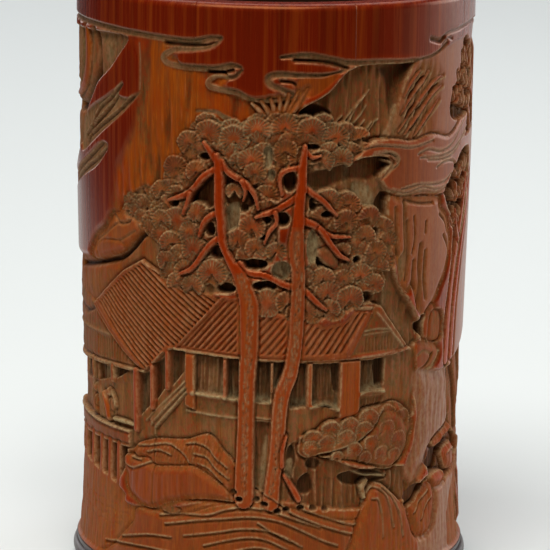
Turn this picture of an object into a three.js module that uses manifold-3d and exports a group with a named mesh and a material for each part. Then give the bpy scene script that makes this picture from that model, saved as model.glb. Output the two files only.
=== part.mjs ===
// Brush holder pot: a thick section of bamboo culm, carved all round, that stands on a turned
// hardwood foot ring. A hardwood floor closes the bore, and bamboo nails driven up through the
// foot hold it to the culm's end grain. Nothing on it moves.
//
// Millimetres, +Z up. The origin is the centre of the foot's underside; the front faces -Y.
// The culm's outside is the polished skin of the bamboo, which is the carving's highest level.
import * as THREE from "three";
import { mergeVertices } from "three/addons/utils/BufferGeometryUtils.js";
import Module from "manifold-3d";

// Culm
const MOUTH_RADIUS = 54;
const CULM_WALL = 8; // at the mouth
const CULM_HEIGHT = 154;
const WAIST_DEPTH = 1.6; // how much slimmer the culm is at its waist than at its mouth
const END_TAPER = 0.4; // how much slimmer it is at its lower end
const WAIST_HEIGHT = 27; // above the culm's lower end
const SHOULDER_HEIGHT = 112; // above the culm's lower end, where the wall runs straight to the mouth
const LIP_OUTER_ROUND = 1.8;
const LIP_INNER_ROUND = 1.4;

// Hardwood foot ring
const FOOT_HEIGHT = 8;
const FOOT_STEP = 1.2; // how far the foot stands proud of the culm
const FOOT_BEAD_HEIGHT = 4.4; // half-round moulding
const FOOT_BEAD_DROP = 1.4; // from the foot's top to the bead
const FOOT_BEAD_ARC = 70; // degrees of the half round that show, above and below its middle
const FOOT_FILLET_HEIGHT = 1; // flat band over the bead, against the culm's end
const FOOT_FILLET_SET_BACK = 1;
const FOOT_SOLE_INSET = 1.6; // the sole is this much smaller than the bead
const TONGUE_HEIGHT = 5; // collar that stands up into the bore
const TONGUE_WALL = 3.6;

// Floor
const LEDGE_HEIGHT = 4.6; // where the floor rests, above the foot's underside
const LEDGE_WIDTH = 5.1;
const FLOOR_SHY = 0.5; // how far the floor lies below the tongue's top
const FLOOR_CHAMFER = 0.6;

// Nails
const NAIL_COUNT = 4;
const NAIL_RADIUS = 1.2;
const NAIL_LENGTH = 15.5;
const NAIL_RECESS = 0.4; // the nail's head is this far above the foot's underside
const NAIL_TIP = 1.5; // length of the tapered tip
const NAIL_TIP_RADIUS = 0.5;
const NAIL_INSET = 2.7; // from the bore to the nail's axis

// Fits
const GLUE_LINE = 0.1; // between flat faces that are glued
const CLEARANCE = 0.3; // round a piece that sits in a hole or a recess

// How finely curves are stepped
const AROUND = 72; // facets round the pot
const AROUND_NAIL = 16;
const SKIN_STEPS = 18;
const ROUND_STEPS = 5;
const BEAD_STEPS = 8;
const MERGE_WITHIN = 1e-4;
const CUT_BEYOND = 1; // how far a cutter starts outside the piece

const waistRadius = MOUTH_RADIUS - WAIST_DEPTH;
const culmEndRadius = MOUTH_RADIUS - END_TAPER;
const boreRadius = MOUTH_RADIUS - CULM_WALL;
const tongueTop = FOOT_HEIGHT + TONGUE_HEIGHT;
const tongueOuter = boreRadius - CLEARANCE;
const recessRadius = tongueOuter - TONGUE_WALL;
const floorRadius = recessRadius - CLEARANCE;
const eyeRadius = recessRadius - LEDGE_WIDTH; // the opening seen from below
const nailCircle = boreRadius + NAIL_INSET;
const nailTop = NAIL_RECESS + NAIL_LENGTH;

const wasm = await Module();
wasm.setup();

const bamboo = new THREE.MeshStandardMaterial({ color: 0x7a2f14, roughness: 0.35 });
const hardwood = new THREE.MeshStandardMaterial({ color: 0x2a1712, roughness: 0.4 });
const nailBamboo = new THREE.MeshStandardMaterial({ color: 0xa9793f, roughness: 0.6 });

// A closed outline of [radius, height] points, turned about the Z axis.
function turned(outline, facets = AROUND) {
  const points = outline.map(([radius, height]) => new THREE.Vector2(radius, height));
  const geometry = new THREE.LatheGeometry(points, facets);
  return geometry.rotateX(Math.PI / 2);
}

// Points on part of a circle, from one angle to another, both in degrees.
function arc(centreRadius, centreHeight, round, from, to, steps = ROUND_STEPS) {
  const points = [];
  for (let i = 0; i <= steps; i++) {
    const angle = THREE.MathUtils.degToRad(from + ((to - from) * i) / steps);
    points.push([centreRadius + round * Math.cos(angle), centreHeight + round * Math.sin(angle)]);
  }
  return points;
}

function solidOf(geometry) {
  const bare = new THREE.BufferGeometry();
  bare.setAttribute("position", geometry.getAttribute("position"));
  bare.setIndex(geometry.index);
  const merged = mergeVertices(bare, MERGE_WITHIN);
  return new wasm.Manifold(
    new wasm.Mesh({
      numProp: 3,
      vertProperties: merged.attributes.position.array,
      triVerts: new Uint32Array(merged.index.array),
    })
  );
}

function geometryOf(solid) {
  const { vertProperties, triVerts } = solid.getMesh();
  const geometry = new THREE.BufferGeometry();
  geometry.setAttribute("position", new THREE.BufferAttribute(vertProperties, 3));
  geometry.setIndex(new THREE.BufferAttribute(triVerts, 1));
  geometry.computeVertexNormals();
  return geometry;
}

function piece(name, geometry, material) {
  const mesh = new THREE.Mesh(geometry, material);
  mesh.name = name;
  return mesh;
}

// The nails' places round the foot, as angles.
const nailAngles = Array.from(
  { length: NAIL_COUNT },
  (_, i) => ((i + 0.5) * 2 * Math.PI) / NAIL_COUNT
);

function atNail(geometry, angle) {
  return geometry.translate(nailCircle * Math.cos(angle), nailCircle * Math.sin(angle), 0);
}

// A nail: a shank with a tapered tip. Grown by a clearance, it is the hole's cutter.
function nailGeometry(grow, bottom, top) {
  return turned(
    [
      [0, bottom],
      [NAIL_RADIUS + grow, bottom],
      [NAIL_RADIUS + grow, top - NAIL_TIP],
      [NAIL_TIP_RADIUS + grow, top],
      [0, top],
    ],
    AROUND_NAIL
  );
}

function cutNailHoles(solid) {
  let cut = solid;
  for (const angle of nailAngles) {
    const cutter = nailGeometry(CLEARANCE, -CUT_BEYOND, nailTop + CLEARANCE);
    cut = cut.subtract(solidOf(atNail(cutter, angle)));
  }
  return cut;
}

// The culm swells at both ends and has its waist low down, as the stretch above a node does.
function culmWall() {
  const bottom = FOOT_HEIGHT + GLUE_LINE;
  const top = bottom + CULM_HEIGHT;
  const swellRadius = (waistRadius + MOUTH_RADIUS) / 2;
  const swellHeight = (WAIST_HEIGHT + SHOULDER_HEIGHT) / 2;
  const skin = new THREE.SplineCurve([
    new THREE.Vector2(culmEndRadius, bottom),
    new THREE.Vector2(waistRadius, bottom + WAIST_HEIGHT),
    new THREE.Vector2(swellRadius, bottom + swellHeight),
    new THREE.Vector2(MOUTH_RADIUS, bottom + SHOULDER_HEIGHT),
    new THREE.Vector2(MOUTH_RADIUS, top - LIP_OUTER_ROUND),
  ]);
  const outline = skin.getPoints(SKIN_STEPS).map((point) => [point.x, point.y]);
  outline.pop();
  outline.push(
    ...arc(MOUTH_RADIUS - LIP_OUTER_ROUND, top - LIP_OUTER_ROUND, LIP_OUTER_ROUND, 0, 90),
    ...arc(boreRadius + LIP_INNER_ROUND, top - LIP_INNER_ROUND, LIP_INNER_ROUND, 90, 180),
    [boreRadius, bottom],
    [culmEndRadius, bottom]
  );
  return piece("culm_wall", geometryOf(cutNailHoles(solidOf(turned(outline)))), bamboo);
}

// The foot ring: sole, half-round bead and top fillet outside; eye, ledge and tongue inside.
function footRing() {
  const outer = culmEndRadius + FOOT_STEP;
  const beadRound = FOOT_BEAD_HEIGHT / 2;
  const beadMiddle = FOOT_HEIGHT - FOOT_BEAD_DROP - beadRound;
  const bead = arc(
    outer - beadRound, beadMiddle, beadRound, -FOOT_BEAD_ARC, FOOT_BEAD_ARC, BEAD_STEPS
  );
  const outline = [
    [eyeRadius, 0],
    [outer - FOOT_SOLE_INSET, 0],
    ...bead,
    [outer - FOOT_FILLET_SET_BACK, FOOT_HEIGHT - FOOT_FILLET_HEIGHT],
    [outer - FOOT_FILLET_SET_BACK, FOOT_HEIGHT],
    [tongueOuter, FOOT_HEIGHT],
    [tongueOuter, tongueTop],
    [recessRadius, tongueTop],
    [recessRadius, LEDGE_HEIGHT],
    [eyeRadius, LEDGE_HEIGHT],
    [eyeRadius, 0],
  ];
  return piece("foot_ring", geometryOf(cutNailHoles(solidOf(turned(outline)))), hardwood);
}

function floorDisc() {
  const bottom = LEDGE_HEIGHT + GLUE_LINE;
  const top = tongueTop - FLOOR_SHY;
  const outline = [
    [0, bottom],
    [floorRadius - FLOOR_CHAMFER, bottom],
    [floorRadius, bottom + FLOOR_CHAMFER],
    [floorRadius, top - FLOOR_CHAMFER],
    [floorRadius - FLOOR_CHAMFER, top],
    [0, top],
  ];
  return piece("floor_disc", turned(outline), hardwood);
}

function footNails() {
  return nailAngles.map((angle, i) =>
    piece(`foot_nail_${i + 1}`, atNail(nailGeometry(0, NAIL_RECESS, nailTop), angle), nailBamboo)
  );
}

const pot = new THREE.Group();
pot.name = "brush_holder_pot";
pot.add(culmWall(), footRing(), floorDisc(), ...footNails());

export default pot;
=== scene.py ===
# %% [markdown]
# # A carved bamboo brush pot
# The object is a thick length of bamboo culm, carved all round with a landscape, standing on a
# turned hardwood foot. Only the walls the carver left alone keep the hard, shiny skin of the
# bamboo; everything cut below it is soft, matt and fibrous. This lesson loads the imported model,
# carves the skin as one height map, wraps that map round the culm, turns the foot and the floor,
# and gives each wood its own procedural finish.

# %% Load the frame
import math

import bpy
import numpy as np
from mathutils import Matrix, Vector


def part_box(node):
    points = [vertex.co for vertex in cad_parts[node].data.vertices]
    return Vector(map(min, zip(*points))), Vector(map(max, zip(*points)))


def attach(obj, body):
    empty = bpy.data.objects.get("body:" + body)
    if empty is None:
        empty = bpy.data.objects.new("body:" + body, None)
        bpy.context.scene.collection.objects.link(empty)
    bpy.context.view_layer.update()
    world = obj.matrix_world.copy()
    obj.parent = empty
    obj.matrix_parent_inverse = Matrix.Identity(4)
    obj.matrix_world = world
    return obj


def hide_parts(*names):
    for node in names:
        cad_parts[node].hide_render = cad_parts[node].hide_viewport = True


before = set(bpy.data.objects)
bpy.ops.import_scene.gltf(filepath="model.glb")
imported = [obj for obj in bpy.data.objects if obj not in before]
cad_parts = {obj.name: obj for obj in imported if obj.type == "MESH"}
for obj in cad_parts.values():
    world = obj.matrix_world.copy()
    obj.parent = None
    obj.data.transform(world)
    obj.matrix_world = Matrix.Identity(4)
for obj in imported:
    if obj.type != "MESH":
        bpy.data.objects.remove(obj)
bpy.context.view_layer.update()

MM = 0.001

# %% [markdown]
# ## The camera and the studio
# A pot this size is looked at from a desk's height, a little above its mouth's far edge, with a
# long lens, so its sides stay almost parallel. The camera comes first because every later choice
# is judged through it. It is tilted by less than a degree, as a real one is.

# %% Camera
CAMERA_DISTANCE = 850 * MM
CAMERA_HEIGHT = 260.7 * MM
CAMERA_PITCH = math.radians(11.97)
CAMERA_ROLL = math.radians(0.78)
LENS = 205.8
SENSOR_WIDTH = 36
SIDE_SHIFT = 0.0047
NEAREST_SEEN = 0.05
camera = bpy.data.objects.new("camera", bpy.data.cameras.new("camera"))
bpy.context.scene.collection.objects.link(camera)
camera.data.lens = LENS
camera.data.sensor_width = SENSOR_WIDTH
camera.data.shift_x = SIDE_SHIFT
camera.data.clip_start = NEAREST_SEEN
camera.rotation_mode = "XYZ"
camera.location = (0, -CAMERA_DISTANCE, CAMERA_HEIGHT)
camera.rotation_euler = (math.pi / 2 - CAMERA_PITCH, 0, 0)
camera.rotation_euler.rotate_axis("Z", CAMERA_ROLL)
bpy.context.scene.camera = camera
print("camera", [round(v / MM) for v in camera.location], "mm, lens", LENS)

# %% [markdown]
# ## Colours and nodes
# Colours are written as the hex values a screen shows, and one function turns them into the
# linear numbers that a shader works with. A second small function adds a node, sets it and
# links it, so that each material below reads as a list of what its surface is made of.

# %% Helpers for colour and nodes
def linear(hex_value):
    """Turns a screen's hex colour into linear red, green and blue, and an alpha of 1."""
    channels = [int(hex_value[i:i + 2], 16) / 255 for i in (1, 3, 5)]
    return (*[c / 12.92 if c <= 0.04045 else ((c + 0.055) / 1.055) ** 2.4 for c in channels], 1.0)


def add(tree, kind, settings=None, links=None):
    """Adds a node, sets its properties or sockets, and links other nodes' outputs into it."""
    node = tree.nodes.new(kind)
    for name, value in (settings or {}).items():
        if isinstance(name, str) and hasattr(node, name):
            setattr(node, name, value)
        else:
            node.inputs[name].default_value = value
    for name, source in (links or {}).items():
        tree.links.new(source, node.inputs[name])
    return node


def finish_with(material, pieces):
    """Gives pieces one finish and nothing else."""
    for piece in pieces:
        piece.data.materials.clear()
        piece.data.materials.append(material)


def new_material(name):
    """A material with its node tree and its one shader."""
    material = bpy.data.materials.new(name)
    material.use_nodes = True
    return material, material.node_tree, material.node_tree.nodes["Principled BSDF"]


# %% [markdown]
# ## Floor and light
# Polished bamboo is a curved mirror, so the room matters as much as the lamps. The white table
# behind and beside the pot is what makes its edges pale, while the table in front and far left of it
# is painted dark, a painted shade, and so the middle of the pot stays deep red. A high soft light gives
# the carving its shadows without being mirrored, and a low window on the right makes the long sheen.

# %% Floor
bpy.ops.object.select_all(action="DESELECT")
FLOOR_SIZE = 9
bpy.ops.mesh.primitive_plane_add(size=FLOOR_SIZE, location=(0, 2.2, 0))
floor = bpy.context.active_object
floor.name = "studio_floor"
paper, tree, shader = new_material("matt_white_table")
place = add(tree, "ShaderNodeTexCoord")
parts = add(tree, "ShaderNodeSeparateXYZ", links={0: place.outputs["Object"]})
# The front and the far left of the white table are painted dark: a painted shade on the floor.
front = add(tree, "ShaderNodeMapRange", {"From Min": -2.33, "From Max": -2.55},
    {"Value": parts.outputs["Y"]})
left = add(tree, "ShaderNodeMapRange", {"From Min": -0.26, "From Max": -0.48},
    {"Value": parts.outputs["X"]})
shade = add(tree, "ShaderNodeMath", {"operation": "MAXIMUM"}, {0: front.outputs[0], 1: left.outputs[0]})
tone = add(tree, "ShaderNodeMix", {"data_type": "RGBA", 6: linear("#e3e8e9"), 7: linear("#2b2a29")},
    {0: shade.outputs[0]})
tree.links.new(tone.outputs[2], shader.inputs["Base Color"])
shader.inputs["Roughness"].default_value = 0.9
shader.inputs["Specular IOR Level"].default_value = 0.1
floor.data.materials.append(paper)

# %% Lights
def soft_box(name, place, aim, size, watts, colour):
    """A rectangular soft light at a place in metres, turned to face its aim."""
    light = bpy.data.objects.new(name, bpy.data.lights.new(name, "AREA"))
    bpy.context.scene.collection.objects.link(light)
    light.data.shape = "RECTANGLE"
    light.data.size, light.data.size_y = size
    light.data.energy = watts
    light.data.color = linear(colour)[:3]
    light.location = place
    toward = [a - p for a, p in zip(aim, place)]
    light.rotation_euler = Vector(toward).to_track_quat("-Z", "Y").to_euler()


POT_MIDDLE = (0, 0, 0.08)
soft_box("window_right", (1.2, 0.55, 0.42), POT_MIDDLE, (0.8, 0.7), 6, "#fbfdff")
soft_box("pale_wall_right", (1.5, 1.5, 0.3), POT_MIDDLE, (1.4, 0.6), 3, "#fbfdff")
soft_box("window_left", (-1.0, 1.5, 0.35), POT_MIDDLE, (0.3, 0.6), 2.2, "#fbfdff")
soft_box("ceiling", (-0.25, -0.75, 1.75), (0, 0.1, 0), (1.6, 1.2), 40, "#fffcf6")
soft_box("back_of_table", (0, 1.6, 2.0), (0, 1.4, 0), (3.0, 2.0), 26, "#ffffff")
world = bpy.data.worlds.new("room")
world.use_nodes = True
world.node_tree.nodes["Background"].inputs["Color"].default_value = linear("#e9edf0")
world.node_tree.nodes["Background"].inputs["Strength"].default_value = 0.045
bpy.context.scene.world = world
bpy.context.scene.view_settings.view_transform = "Standard"

# %% [markdown]
# ## The skin laid flat
# A carver first draws the scene on paper and glues the paper round the culm. The same idea is
# used here: the skin is unrolled into a flat sheet, measured in millimetres. `s` runs round the
# pot, with 0 at the middle of the front and positive to the right, and `z` runs up from the
# table. One grid holds how deep each spot is cut. Sculpting every leaf as its own mesh would
# leave hundreds of loose shells; a height map keeps the wall one skin, as the real one is.

# %% The culm's own shape, from the frame
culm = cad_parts["culm_wall"].data
points = np.array([v.co for v in culm.vertices]) / MM
radii = np.hypot(points[:, 0], points[:, 1])
culm_low, culm_high = (corner.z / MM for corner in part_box("culm_wall"))
bore_radius = radii.min()
OUTER_PART = 5.5  # points this far outside the bore are on the outer face
LIP_ZONE = 4
LEVEL_MATCH = 0.01
outside = radii > bore_radius + OUTER_PART
heights_known = np.unique(points[outside, 2].round(2))
radii_known = np.array([radii[outside & (abs(points[:,
    2] - h) < LEVEL_MATCH)].max() for h in heights_known])
lip_start = heights_known[heights_known > culm_high - LIP_ZONE].min()
lip_round = culm_high - lip_start
mouth_radius = radii_known[heights_known == lip_start][0]
print("culm", round(culm_low, 1), "to", round(culm_high, 1), "mm, mouth radius", round(mouth_radius, 1),
    "bore", round(bore_radius, 1), "lip round", round(lip_round, 2))


def skin_radius(z):
    """Radius of the uncut skin at a height, in millimetres: the culm has a slight waist."""
    wall = heights_known <= lip_start
    return np.interp(z, heights_known[wall], radii_known[wall])


# %% The grid
SECTORS = 8
COLUMNS = 162 * SECTORS
CELL = 0.27
ROWS = int((culm_high - lip_round - culm_low) / CELL) + 1
girth = 2 * math.pi * mouth_radius
column_step = girth / COLUMNS
column_s = -girth / 2 + np.arange(COLUMNS) * girth / COLUMNS
row_z = np.linspace(culm_low, culm_high - lip_round, ROWS)
height = np.zeros((ROWS, COLUMNS), np.float32)
# The third sheet here is painted near black: partly old lacquer, partly painted shade in deep cuts, grooves
# and gaps.
straw, dust, soot, ruddy = (np.zeros_like(height) for _ in range(4))
gloss = np.ones_like(height)
COLOUR_AND_SHADE_SHEETS = {"straw": straw, "dust": dust, "soot": soot, "gloss": gloss, "ruddy": ruddy}
rng = np.random.default_rng(20)
print("grid", ROWS, "x", COLUMNS, "cells of", round(column_step, 3), "x", round(row_z[1] - row_z[0], 3),
    "mm")


# %% [markdown]
# ## A carver's tools, as functions
# Each tool works on a small window of the sheet. `lay` leaves a shape standing at a level and
# cuts a steep wall round it, `cut` draws a groove, `stroke` leaves a rounded ridge such as a
# trunk, and `ribs` scores parallel lines. Later shapes cover earlier ones, as nearer things in
# the picture do, so the scene is carved from back to front.

# %% Curves and distances
def curve(points, closed=False, steps=4):
    """A smooth line through a few points (Catmull-Rom)."""
    p = np.array(points, float)
    if closed:
        p = np.vstack([p[-1], p, p[0], p[1]])
    else:
        p = np.vstack([2 * p[0] - p[1], p, 2 * p[-1] - p[-2]])
    t = np.linspace(0, 1, steps, endpoint=False)[:, None]
    parts = []
    for a, b, c, d in zip(p, p[1:], p[2:], p[3:]):
        rise = 2 * b + (c - a) * t + (2 * a - 5 * b + 4 * c - d) * t**2
        parts.append(0.5 * (rise + (3 * b - a - 3 * c + d) * t**3))
    if not closed:
        parts.append(p[-2:-1])
    return np.vstack(parts)


def window(line, margin):
    """The rows and columns round a line, and their coordinates."""
    line = np.asarray(line)
    first = int(np.floor((line[:, 0].min() - margin - column_s[0]) / column_step))
    last = int(np.ceil((line[:, 0].max() + margin - column_s[0]) / column_step))
    columns = np.arange(first, last + 1)
    rows = np.where((row_z > line[:, 1].min() - margin) & (row_z < line[:, 1].max() + margin))[0]
    s, z = np.meshgrid(column_s[0] + columns * column_step, row_z[rows])
    return np.ix_(rows, columns % COLUMNS), s, z


def to_line(line, s, z, widths=None):
    """Distance to a line, and the line's half width at the nearest point."""
    line = np.asarray(line, float)
    widths = [0] if widths is None else widths
    widths = np.interp(np.linspace(0, 1, len(line)), np.linspace(0, 1, len(widths)), widths)
    best = np.full(s.shape, 1e9)
    distance, half = best.copy(), best.copy()
    for (x0, y0), (x1, y1), w0, w1 in zip(line, line[1:], widths, widths[1:]):
        ex, ey = x1 - x0, y1 - y0
        size = math.hypot(ex, ey) or 1e-9
        t = np.clip(((s - x0) * ex + (z - y0) * ey) / size**2, 0, 1)
        d = np.hypot(s - x0 - t * ex, z - y0 - t * ey)
        w = w0 + (w1 - w0) * t
        nearer = d - w < best
        best = np.where(nearer, d - w, best)
        distance = np.where(nearer, d, distance)
        half = np.where(nearer, w, half)
    return distance, half


def depth_inside(line, s, z):
    """Distance to a closed outline: positive inside it, negative outside."""
    inside = np.zeros(s.shape, bool)
    near = np.full(s.shape, 1e18)
    for (x0, y0), (x1, y1) in zip(line, np.roll(line, -1, 0)):
        ex, ey = x1 - x0, y1 - y0
        t = np.clip(((s - x0) * ex + (z - y0) * ey) / max(ex * ex + ey * ey, 1e-12), 0, 1)
        near = np.minimum(near, (s - x0 - t * ex) ** 2 + (z - y0 - t * ey) ** 2)
        if y0 != y1:
            inside ^= ((y0 > z) != (y1 > z)) & (s < ex * (z - y0) / ey + x0)
    return np.where(inside, 1, -1) * np.sqrt(near)


# %% Noise that follows the bamboo's fibres
def blurred(field, across, along):
    """A soft blur, sized in millimetres, that joins up round the pot: three box blurs in turn."""
    for axis, size in ((1, across / column_step), (0, along / CELL)):
        reach = max(0, int(round(size / 2)))
        for _ in range(3 if reach else 0):
            mode = "wrap" if axis else "reflect"
            pad = [(0, 0), (0, 0)]
            pad[axis] = (reach + 1, reach)
            total = np.cumsum(np.pad(field, pad, mode=mode), axis=axis, dtype=np.float64)
            a = np.take(total, np.arange(2 * reach + 1, total.shape[axis]), axis=axis)
            b = np.take(total, np.arange(0, total.shape[axis] - 2 * reach - 1), axis=axis)
            field = ((a - b) / (2 * reach + 1)).astype(np.float32)
    return field


def fibres(across, along):
    """Random streaks of about this size in millimetres, as strong on the whole as 1."""
    noise = blurred(rng.standard_normal((ROWS, COLUMNS)).astype(np.float32), across, along)
    return noise / noise.std()


fine_fibre = fibres(0.3, 5)
split_fibre = fibres(0.8, 9)
chisel = fibres(1.6, 1.6)
mottle = fibres(5, 7)
print("noise sheets", fine_fibre.shape)


# %% The tools
def smooth(x):
    """An easy slope from 0 to 1."""
    x = np.clip(x, 0, 1)
    return x * x * (3 - 2 * x)


def set_maps(area, share, maps):
    """Moves the named colour sheets, painted shade among them, towards new values."""
    for name, value in maps.items():
        sheet = COLOUR_AND_SHADE_SHEETS[name]
        sheet[area] += (value - sheet[area]) * share


def settle(area, made, share):
    """Moves the wood's height towards the one a tool makes."""
    height[area] += (made - height[area]) * share


def trench(area, inside, depth, reach):
    """A groove along the outside of a shape, which sets it free from its ground."""
    height[area] -= depth * np.exp(-((np.minimum(inside, 0) / reach) ** 2)) * (inside < 0)


BARE = {"straw": 0, "dust": 0, "soot": 0, "ruddy": 0}


def lay(outline, level, wall=0.45, pillow=0.0, reach=1.6, moat=0.0, grain=0.0, rounded=True, **maps):
    """Leaves a shape standing (or sinks it) at a level below the skin, with a steep edge."""
    line = curve(outline, closed=True) if rounded else np.array(outline, float)
    area, s, z = window(line, wall + (1.6 if moat else 0.4))
    inside = depth_inside(line, s, z)
    if callable(level):
        level = level(s, z)
    if moat:
        trench(area, inside, moat, 0.7)
    share = smooth(inside / wall + 0.5)
    crown = pillow * (1 - smooth(inside / reach)) ** 1.5 if pillow else 0
    settle(area, level - crown + grain * fine_fibre[area], share)
    set_maps(area, share, {**BARE, **maps})


def cut(points, depth, width=0.5, rounded=True, **maps):
    """A groove along a line; a negative depth leaves a thin raised line."""
    line = curve(points) if rounded else np.array(points, float)
    area, s, z = window(line, width * 2)
    distance, _ = to_line(line, s, z)
    share = np.exp(-((distance / (width * 0.6)) ** 2))
    height[area] -= depth * share
    set_maps(area, share, maps)


def stroke(points, widths, level, crown=0.5, moat=0.5, wall=0.4, rounded=True, **maps):
    """A rounded ridge with a varying half width: a trunk, a branch or a post."""
    line = curve(points) if rounded else np.array(points, float)
    area, s, z = window(line, max(widths) + 1.8)
    distance, half = to_line(line, s, z, widths)
    inside = half - distance
    if moat:
        trench(area, inside, moat, 0.6)
    share = smooth(inside / wall + 0.5)
    settle(area, level - crown * np.clip(distance / np.maximum(half, 0.1), 0, 1) ** 2, share)
    set_maps(area, share, {**BARE, **maps})


def ribs(outline, degrees, spacing, depth, sharp=1.0, rounded=False):
    """Parallel scored lines inside an outline, running at an angle."""
    line = curve(outline, closed=True) if rounded else np.array(outline, float)
    area, s, z = window(line, 0.3)
    inside = smooth(depth_inside(line, s, z) / 0.5)
    angle = math.radians(degrees)
    across = -(s * math.sin(angle)) + z * math.cos(angle)
    wave = 0.5 - 0.5 * np.cos(2 * math.pi * (across / spacing + 0.06 * mottle[area]))
    height[area] -= depth * wave**sharp * inside


def along_lines(starts, ends, count):
    """Lines between two lines, evenly spaced: hatching that opens out."""
    a, b = np.array(starts, float), np.array(ends, float)
    return [a + (b - a) * t for t in np.linspace(0, 1, count)]


# %% [markdown]
# ## The far ground: sky, mist and cliffs
# The band under the mouth and the big cliffs on the left are the uncut skin. The sky between
# them is scraped back just enough to lose its shine, so the long straw-coloured fibres show,
# and it sinks slowly towards the treetops. This shallow slope is what makes the trees stand out.

# %% The scraped sky on the left
SKY = [
    (-42.5, 151.5), (-30, 151.8), (-26, 147), (-14, 145.5), (-9, 144), (-14, 141), (-6, 137.6), (2, 138),
    (8, 134), (8, 126), (-10, 122), (-22, 112), (-32, 104), (-42, 101), (-50, 103), (-49.5, 109),
    (-48, 116), (-44.5, 121), (-41, 128), (-39.6, 137), (-38.8, 145),
]


def sky_level(s, z):
    """The sky sinks towards the right and towards the treetops."""
    return -0.2 - 0.031 * (s + 44) - 0.012 * (150 - z)


lay(SKY, sky_level, wall=2.6, gloss=1.0)
area, s, z = window(np.array(SKY), 0)
inside_sky = depth_inside(curve(SKY, True), s, z)
feathers = smooth((149 - z) / 14) * smooth(inside_sky / 2)
height[area] += feathers * (0.12 * split_fibre[area] + 0.12 * fine_fibre[area])
streaks = 0.45 * split_fibre[area] + 0.8 * fine_fibre[area]
straw[area] = smooth((inside_sky + 1.6 * split_fibre[area]) / 4) * np.clip(0.9 + 0.3 * streaks, 0, 1)
# The low streaks of fibre are painted darker: painted shade in their cracks.
soot[area] = 0.4 * feathers * np.clip(-0.6 - streaks, 0, 1)
ruddy[area] = 0.5 * smooth(inside_sky / 2) * np.clip(mottle[area], 0, 1)

# %% The far field right of the middle
FAR_RIGHT = [(4, 130), (8, 135.5), (14, 139), (19.5, 144.6), (26, 146.2), (36, 145.5), (39, 144), (36, 140),
    (34.4, 134), (33, 127), (24, 126), (14, 127), (6, 126)]
lay(FAR_RIGHT, -2.3, wall=0.7, grain=0.2, gloss=0.6, dust=0.05)
# The pockets below are painted near black: painted shade in their depth.
lay([(40, 145.9), (36, 145.9), (29.6, 145.2), (31.4, 142), (32.4, 136), (33, 130.6), (34.6, 134),
    (36.4, 140)], -3.2, wall=2.2, soot=0.75)
lay([(5.5, 132.4), (9.5, 136.4), (15, 134), (12, 131), (7, 130.6)], -3.3, wall=0.8, soot=0.9)
stroke([(34.4, 135), (32.8, 131), (31.2, 126.6)], [0.3, 0.6, 1.1], -1.9, crown=0.2, moat=0.2, dust=1.0,
    soot=0)
for line in ([(20.4, 131.6), (23, 136), (26.2, 139.4)], [(18.4, 130.6), (21, 134), (24.6, 138)],
        [(21.6, 130.8), (24, 133.4), (25.4, 135.4)], [(23, 129.2), (25, 131.6)], [(24.6, 128.4),
        (27.4, 131)], [(16, 130.4), (18.4, 133)], [(26, 128.6), (29, 131.6)]):
    cut(line, -0.5, 0.45, dust=0.6, soot=0)

# %% The cliffs on the left
CLIFF_EDGE = [(-80, 150), (-57, 151.2), (-50, 151.5), (-43, 151), (-47, 146), (-51, 142), (-56.5, 138.2),
    (-60, 134), (-65, 128.6), (-69, 124), (-71, 119), (-80, 112), (-92, 108), (-96, 130), (-92, 148)]
lay(CLIFF_EDGE, -1.15, wall=0.8, grain=0.06, gloss=0.15, dust=0.15)
lay([(-57, 150), (-49, 149), (-52, 142.5), (-57, 139.5), (-60, 143)], -0.75, pillow=0.5, reach=3, gloss=0.2,
    dust=0.3)
# This deep cleft is painted near black: a painted shade.
cut([(-60, 151), (-57.5, 146), (-57.8, 141), (-61, 136.5), (-68, 130.4), (-76, 128.6), (-86, 128)], 2.6,
    1.9, soot=0.8, dust=0)
stroke([(-66.5, 151), (-65.4, 146), (-66, 140), (-69.5, 135.5), (-77, 132)], [1.2, 2.3, 2.0, 1.6, 0.8],
    -0.35, crown=0.6, straw=0.9, gloss=0.9, dust=0)
for offset in (0, 4.2, 8.6, 13.5):
    stroke([(-73 - offset, 151), (-72.5 - offset, 143), (-76 - offset, 136)], [0.9, 1.6, 0.9], -0.7,
        crown=0.5, gloss=0.4, dust=0.35)


CHISEL = 0.55


def leaf_of_strokes(outline, level, bundles):
    """A carved patch on a cliff: a shallow leaf shape filled with long chisel strokes."""
    lay(outline, level, wall=0.8, gloss=0.1, dust=0.25)
    for line in bundles:
        cut(line, CHISEL, CHISEL, dust=0.1)
        cut(np.array(line) + (0.0, 0.75), -CHISEL * 0.8, CHISEL * 0.7, gloss=0.4)


leaf_of_strokes([(-38.4, 137.2), (-45, 131), (-53, 125.8), (-62, 120.4), (-69, 117.6), (-70.5, 122),
    (-66, 127.5), (-60, 131), (-52, 134.6), (-45, 138.8), (-46.8, 135.6), (-42.5, 135.2)], -0.75,
    [[(-45, 138.6), (-51, 133.8), (-57, 130), (-63, 123)], [(-47, 135.5), (-52, 130.5), (-59, 126),
    (-65, 120)], [(-41, 135.6), (-47, 131), (-54, 127), (-62, 122.5)], [(-50, 132.6), (-57, 127.4),
    (-66, 122)]])
leaf_of_strokes([(-51.5, 121), (-57, 115.6), (-64, 112.4), (-74, 108.6), (-84, 105), (-84, 109),
    (-72, 113.4), (-63, 117.6), (-55, 122)], -0.6, [[(-54.5, 121.6), (-62, 117), (-70, 113.4), (-80, 109)],
    [(-52, 120.4), (-58, 116.6), (-66, 113), (-78, 107.4)]])
cut([(-38.8, 150), (-38.4, 144), (-38.6, 138)], 0.18, 0.4, dust=0.5)

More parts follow.
